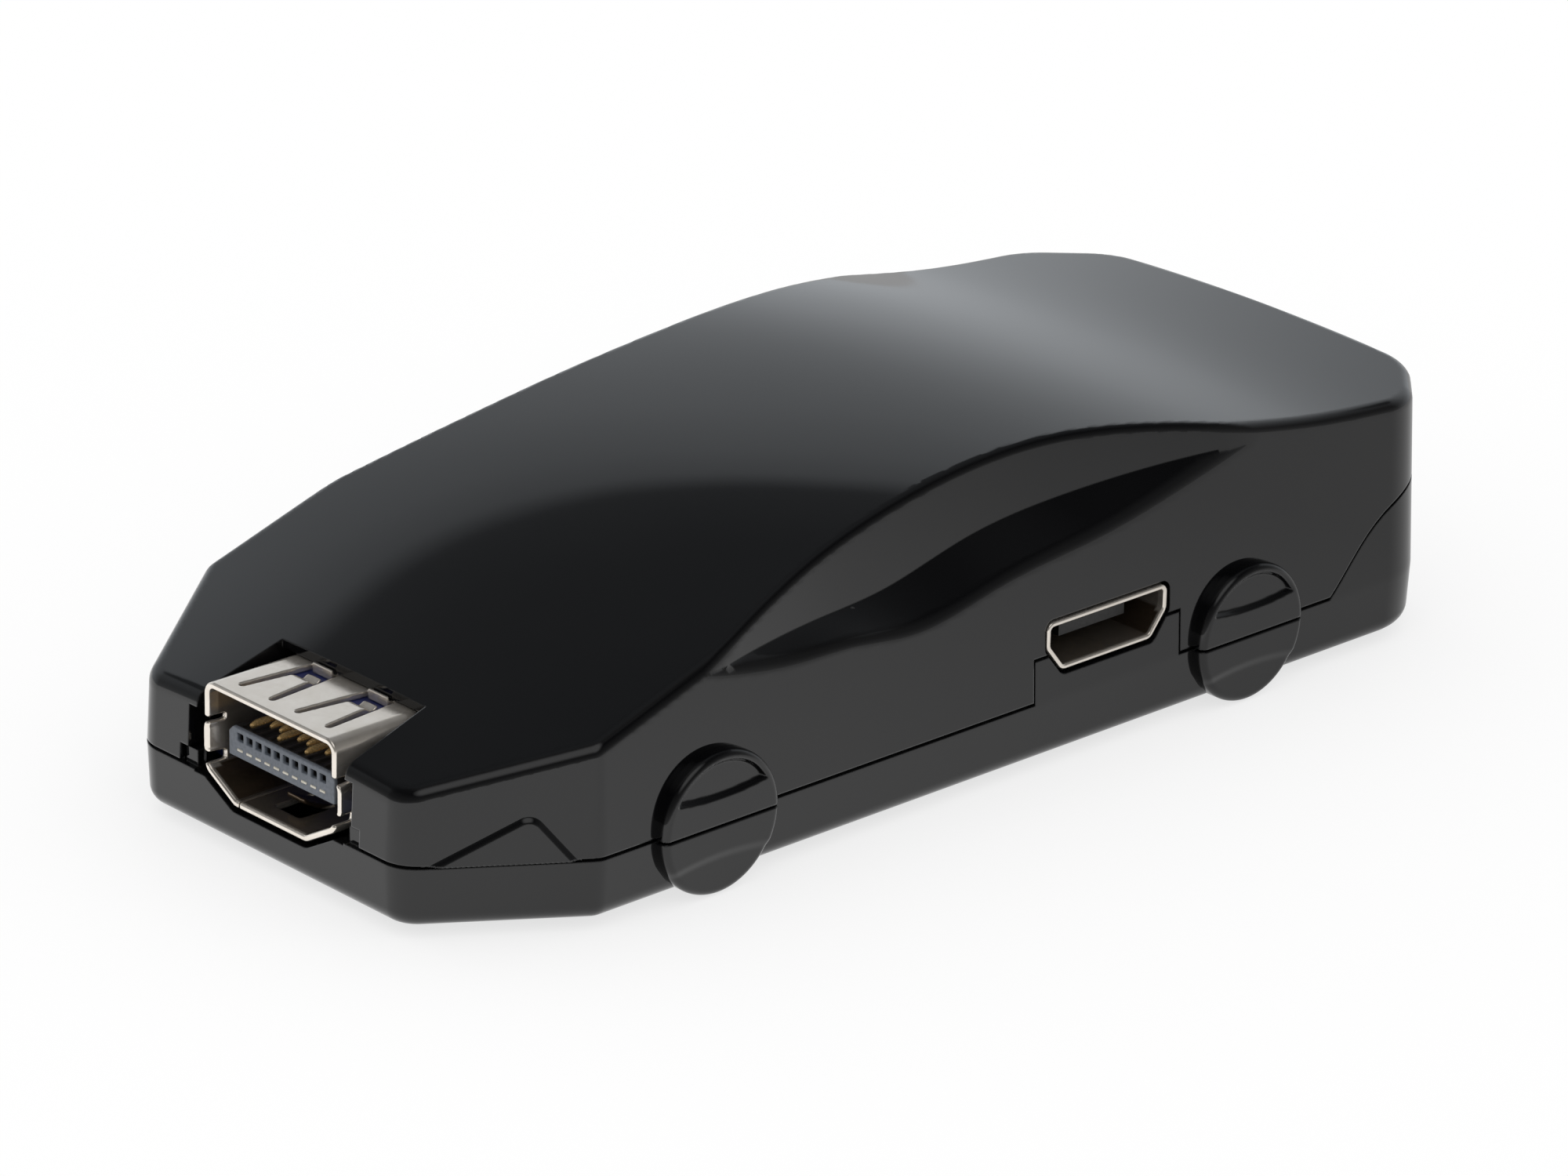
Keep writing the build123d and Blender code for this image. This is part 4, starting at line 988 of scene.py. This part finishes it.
cast("mini_tongue", mini_tongue, *TONGUE_BOX, TONGUE_CELL, "grey_insulator", "mini_insulator",
     finish="tongue_resin")
cast("mini_block", mini_block, *BLOCK_BOX, BLOCK_CELL, "grey_insulator", "mini_insulator",
     finish="blue_block")
cast("mini_pins_above", mini_pins, *UPPER_PIN_BOX, PIN_CELL, "contact_gold", "mini_upper_contacts")
cast("mini_pins_below", mini_low_pins, *LOWER_PIN_BOX, PIN_CELL, "contact_gold", "mini_lower_contacts",
     finish="pale_contact")

# Camera of the photograph: its turn about Z, its height above the horizon and its roll, its focal length
# in the photograph's pixels, and its distance from AIM, with SHIFT to its own right and up
TURN = math.radians(43.2358)
RISE = math.radians(22.4253)
ROLL = math.radians(1.324)
FOCUS = 9021.47
DISTANCE = 309.794
SHIFT = (-0.76094, -1.83947)
AIM = np.array([30.0, 0.0, 7.0])
FRAME_WIDTH = 2000
SENSOR = 36.0
CLIP = 0.01

right = np.array([math.cos(TURN), -math.sin(TURN), 0])
upward = np.array([math.sin(TURN) * math.sin(RISE), math.cos(TURN) * math.sin(RISE), math.cos(RISE)])
back = np.array([-math.sin(TURN) * math.cos(RISE), -math.cos(TURN) * math.cos(RISE), math.sin(RISE)])
rolled_right = math.cos(ROLL) * right + math.sin(ROLL) * upward
rolled_up = -math.sin(ROLL) * right + math.cos(ROLL) * upward
eye = AIM + back * DISTANCE + rolled_right * SHIFT[0] + rolled_up * SHIFT[1]
camera_data = bpy.data.cameras.new("camera")
camera_data.sensor_width = SENSOR
camera_data.lens = FOCUS / FRAME_WIDTH * SENSOR
camera_data.clip_start = CLIP
camera = bpy.data.objects.new("camera", camera_data)
bpy.context.scene.collection.objects.link(camera)
turn = Matrix((rolled_right, rolled_up, back)).transposed()
camera.matrix_world = Matrix.Translation(Vector(to_frame(eye))) @ turn.to_4x4()
bpy.context.scene.camera = camera


def seen_rays(tree, names):
    """1 for rays of the named kinds, and 0 for the rays that light the object."""
    path = tree.nodes.new("ShaderNodeLightPath")
    value = path.outputs[names[0]]
    for name in names[1:]:
        value = maths(tree, "MAXIMUM", value, path.outputs[name])
    return value


def level_ramp(tree, rise, stops, tint=(1, 1, 1)):
    """Tinted level by the height of a direction."""
    ramp = tree.nodes.new("ShaderNodeValToRGB")
    elements = ramp.color_ramp.elements
    while len(elements) < len(stops):
        elements.new(0.5)
    for element, (degrees, level) in zip(elements, stops):
        element.position = math.sin(math.radians(degrees))
        element.color = (*(level * share for share in tint), 1)
    tree.links.new(rise, ramp.inputs["Fac"])
    return ramp.outputs["Color"]


SHOWN = ("Is Camera Ray", "Is Transmission Ray")
PLAIN_LEVEL = 0.85
WHITE = 1.0
BACKDROP_TURN = math.radians(55)
BACKDROP_EDGE = 0.1, 0.75
# Grey level of the studio by degrees above the floor: the white sweep behind the
# object ends at about 37 degrees, and the side that the camera stands on is dim
BACKDROP = [(0, 0.84), (10, 0.82), (20, 0.71), (30, 0.66), (35, 0.58), (37.5, 0.48), (39, 0.155), (44, 0.13),
            (56, 0.125), (90, 0.2)]
NEAR_SIDE = [(0, 0.42), (10, 0.25), (20, 0.15), (30, 0.12), (40, 0.07), (50, 0.03), (65, 0.05), (90, 0.2)]
BACKDROP_TINT = (0.94, 0.985, 1.03)
# Soft light above the nose, on the camera's side, that shows as a glint on rounded edges
LAMP_AIM = (-0.25, -0.45, 0.86)
LAMP_INNER = math.cos(math.radians(14))
LAMP_OUTER = math.cos(math.radians(27))
LAMP_LEVEL = 1.0
# How strongly the floor shows in the gloss: more before the nose, less behind the tail
FLOOR_NOSE = 1.25
FLOOR_TAIL = 0.55
FLOOR_HALF = 1.5
FLOOR_COLOUR = (0.33, 0.33, 0.33, 1)
FLOOR_SHOWN = (0.72, 0.72, 0.72, 1)


def build_world():
    """Even plain light, with the white sweep and the dim room around it for what the gloss reflects."""
    world = bpy.data.worlds.new("studio")
    bpy.context.scene.world = world
    world.use_nodes = True
    tree = world.node_tree
    direction = tree.nodes.new("ShaderNodeTexCoord").outputs["Generated"]
    level = vector_maths(tree, "NORMALIZE", vector_maths(tree, "MULTIPLY", direction, (1, 1, 0)))
    toward = vector_maths(tree, "DOT_PRODUCT", level, (math.cos(BACKDROP_TURN), math.sin(BACKDROP_TURN), 0))
    rise = parts_of(tree, direction)["Z"]
    far = level_ramp(tree, rise, BACKDROP, BACKDROP_TINT)
    near = level_ramp(tree, rise, NEAR_SIDE)
    room = mixed(tree, spread(tree, toward, 0, 1, *BACKDROP_EDGE), near, far)
    glow = spread(tree, vector_maths(tree, "DOT_PRODUCT", direction, LAMP_AIM), 0, 1, LAMP_OUTER, LAMP_INNER)
    room = mixed(tree, glow, room, LAMP_LEVEL)
    lit = mixed(tree, seen_rays(tree, ["Is Glossy Ray"]), PLAIN_LEVEL, room)
    shown = mixed(tree, seen_rays(tree, SHOWN), lit, WHITE)
    tree.links.new(shown, tree.nodes["Background"].inputs["Color"])


def build_floor():
    """Pale floor that shows white, keeps the object's shadow and fades along X in the gloss."""
    corners = [(x * FLOOR_HALF, y * FLOOR_HALF, 0) for x, y in ((-1, -1), (1, -1), (1, 1), (-1, 1))]
    mesh = bpy.data.meshes.new("floor")
    mesh.from_pydata(corners, [], [(0, 1, 2, 3)])
    floor = bpy.data.objects.new("floor", mesh)
    bpy.context.scene.collection.objects.link(floor)
    material, tree, shader = new_material("floor_white")
    shader.inputs["Base Color"].default_value = FLOOR_COLOUR
    shader.inputs["Roughness"].default_value = 0.9
    shader.inputs["Specular IOR Level"].default_value = 0.0
    shader.inputs["Emission Color"].default_value = FLOOR_SHOWN
    along = parts_of(tree, tree.nodes.new("ShaderNodeTexCoord").outputs["Object"])["X"]
    fade = spread(tree, along, FLOOR_NOSE, FLOOR_TAIL, NOSE * MM, -1.2 * NOSE * MM)
    glossy = maths(tree, "MULTIPLY", fade, seen_rays(tree, ["Is Glossy Ray"]))
    strength = maths(tree, "MAXIMUM", seen_rays(tree, SHOWN), glossy)
    tree.links.new(strength, shader.inputs["Emission Strength"])
    mesh.materials.append(material)


bpy.context.scene.view_settings.view_transform = "Standard"
build_world()
build_floor()
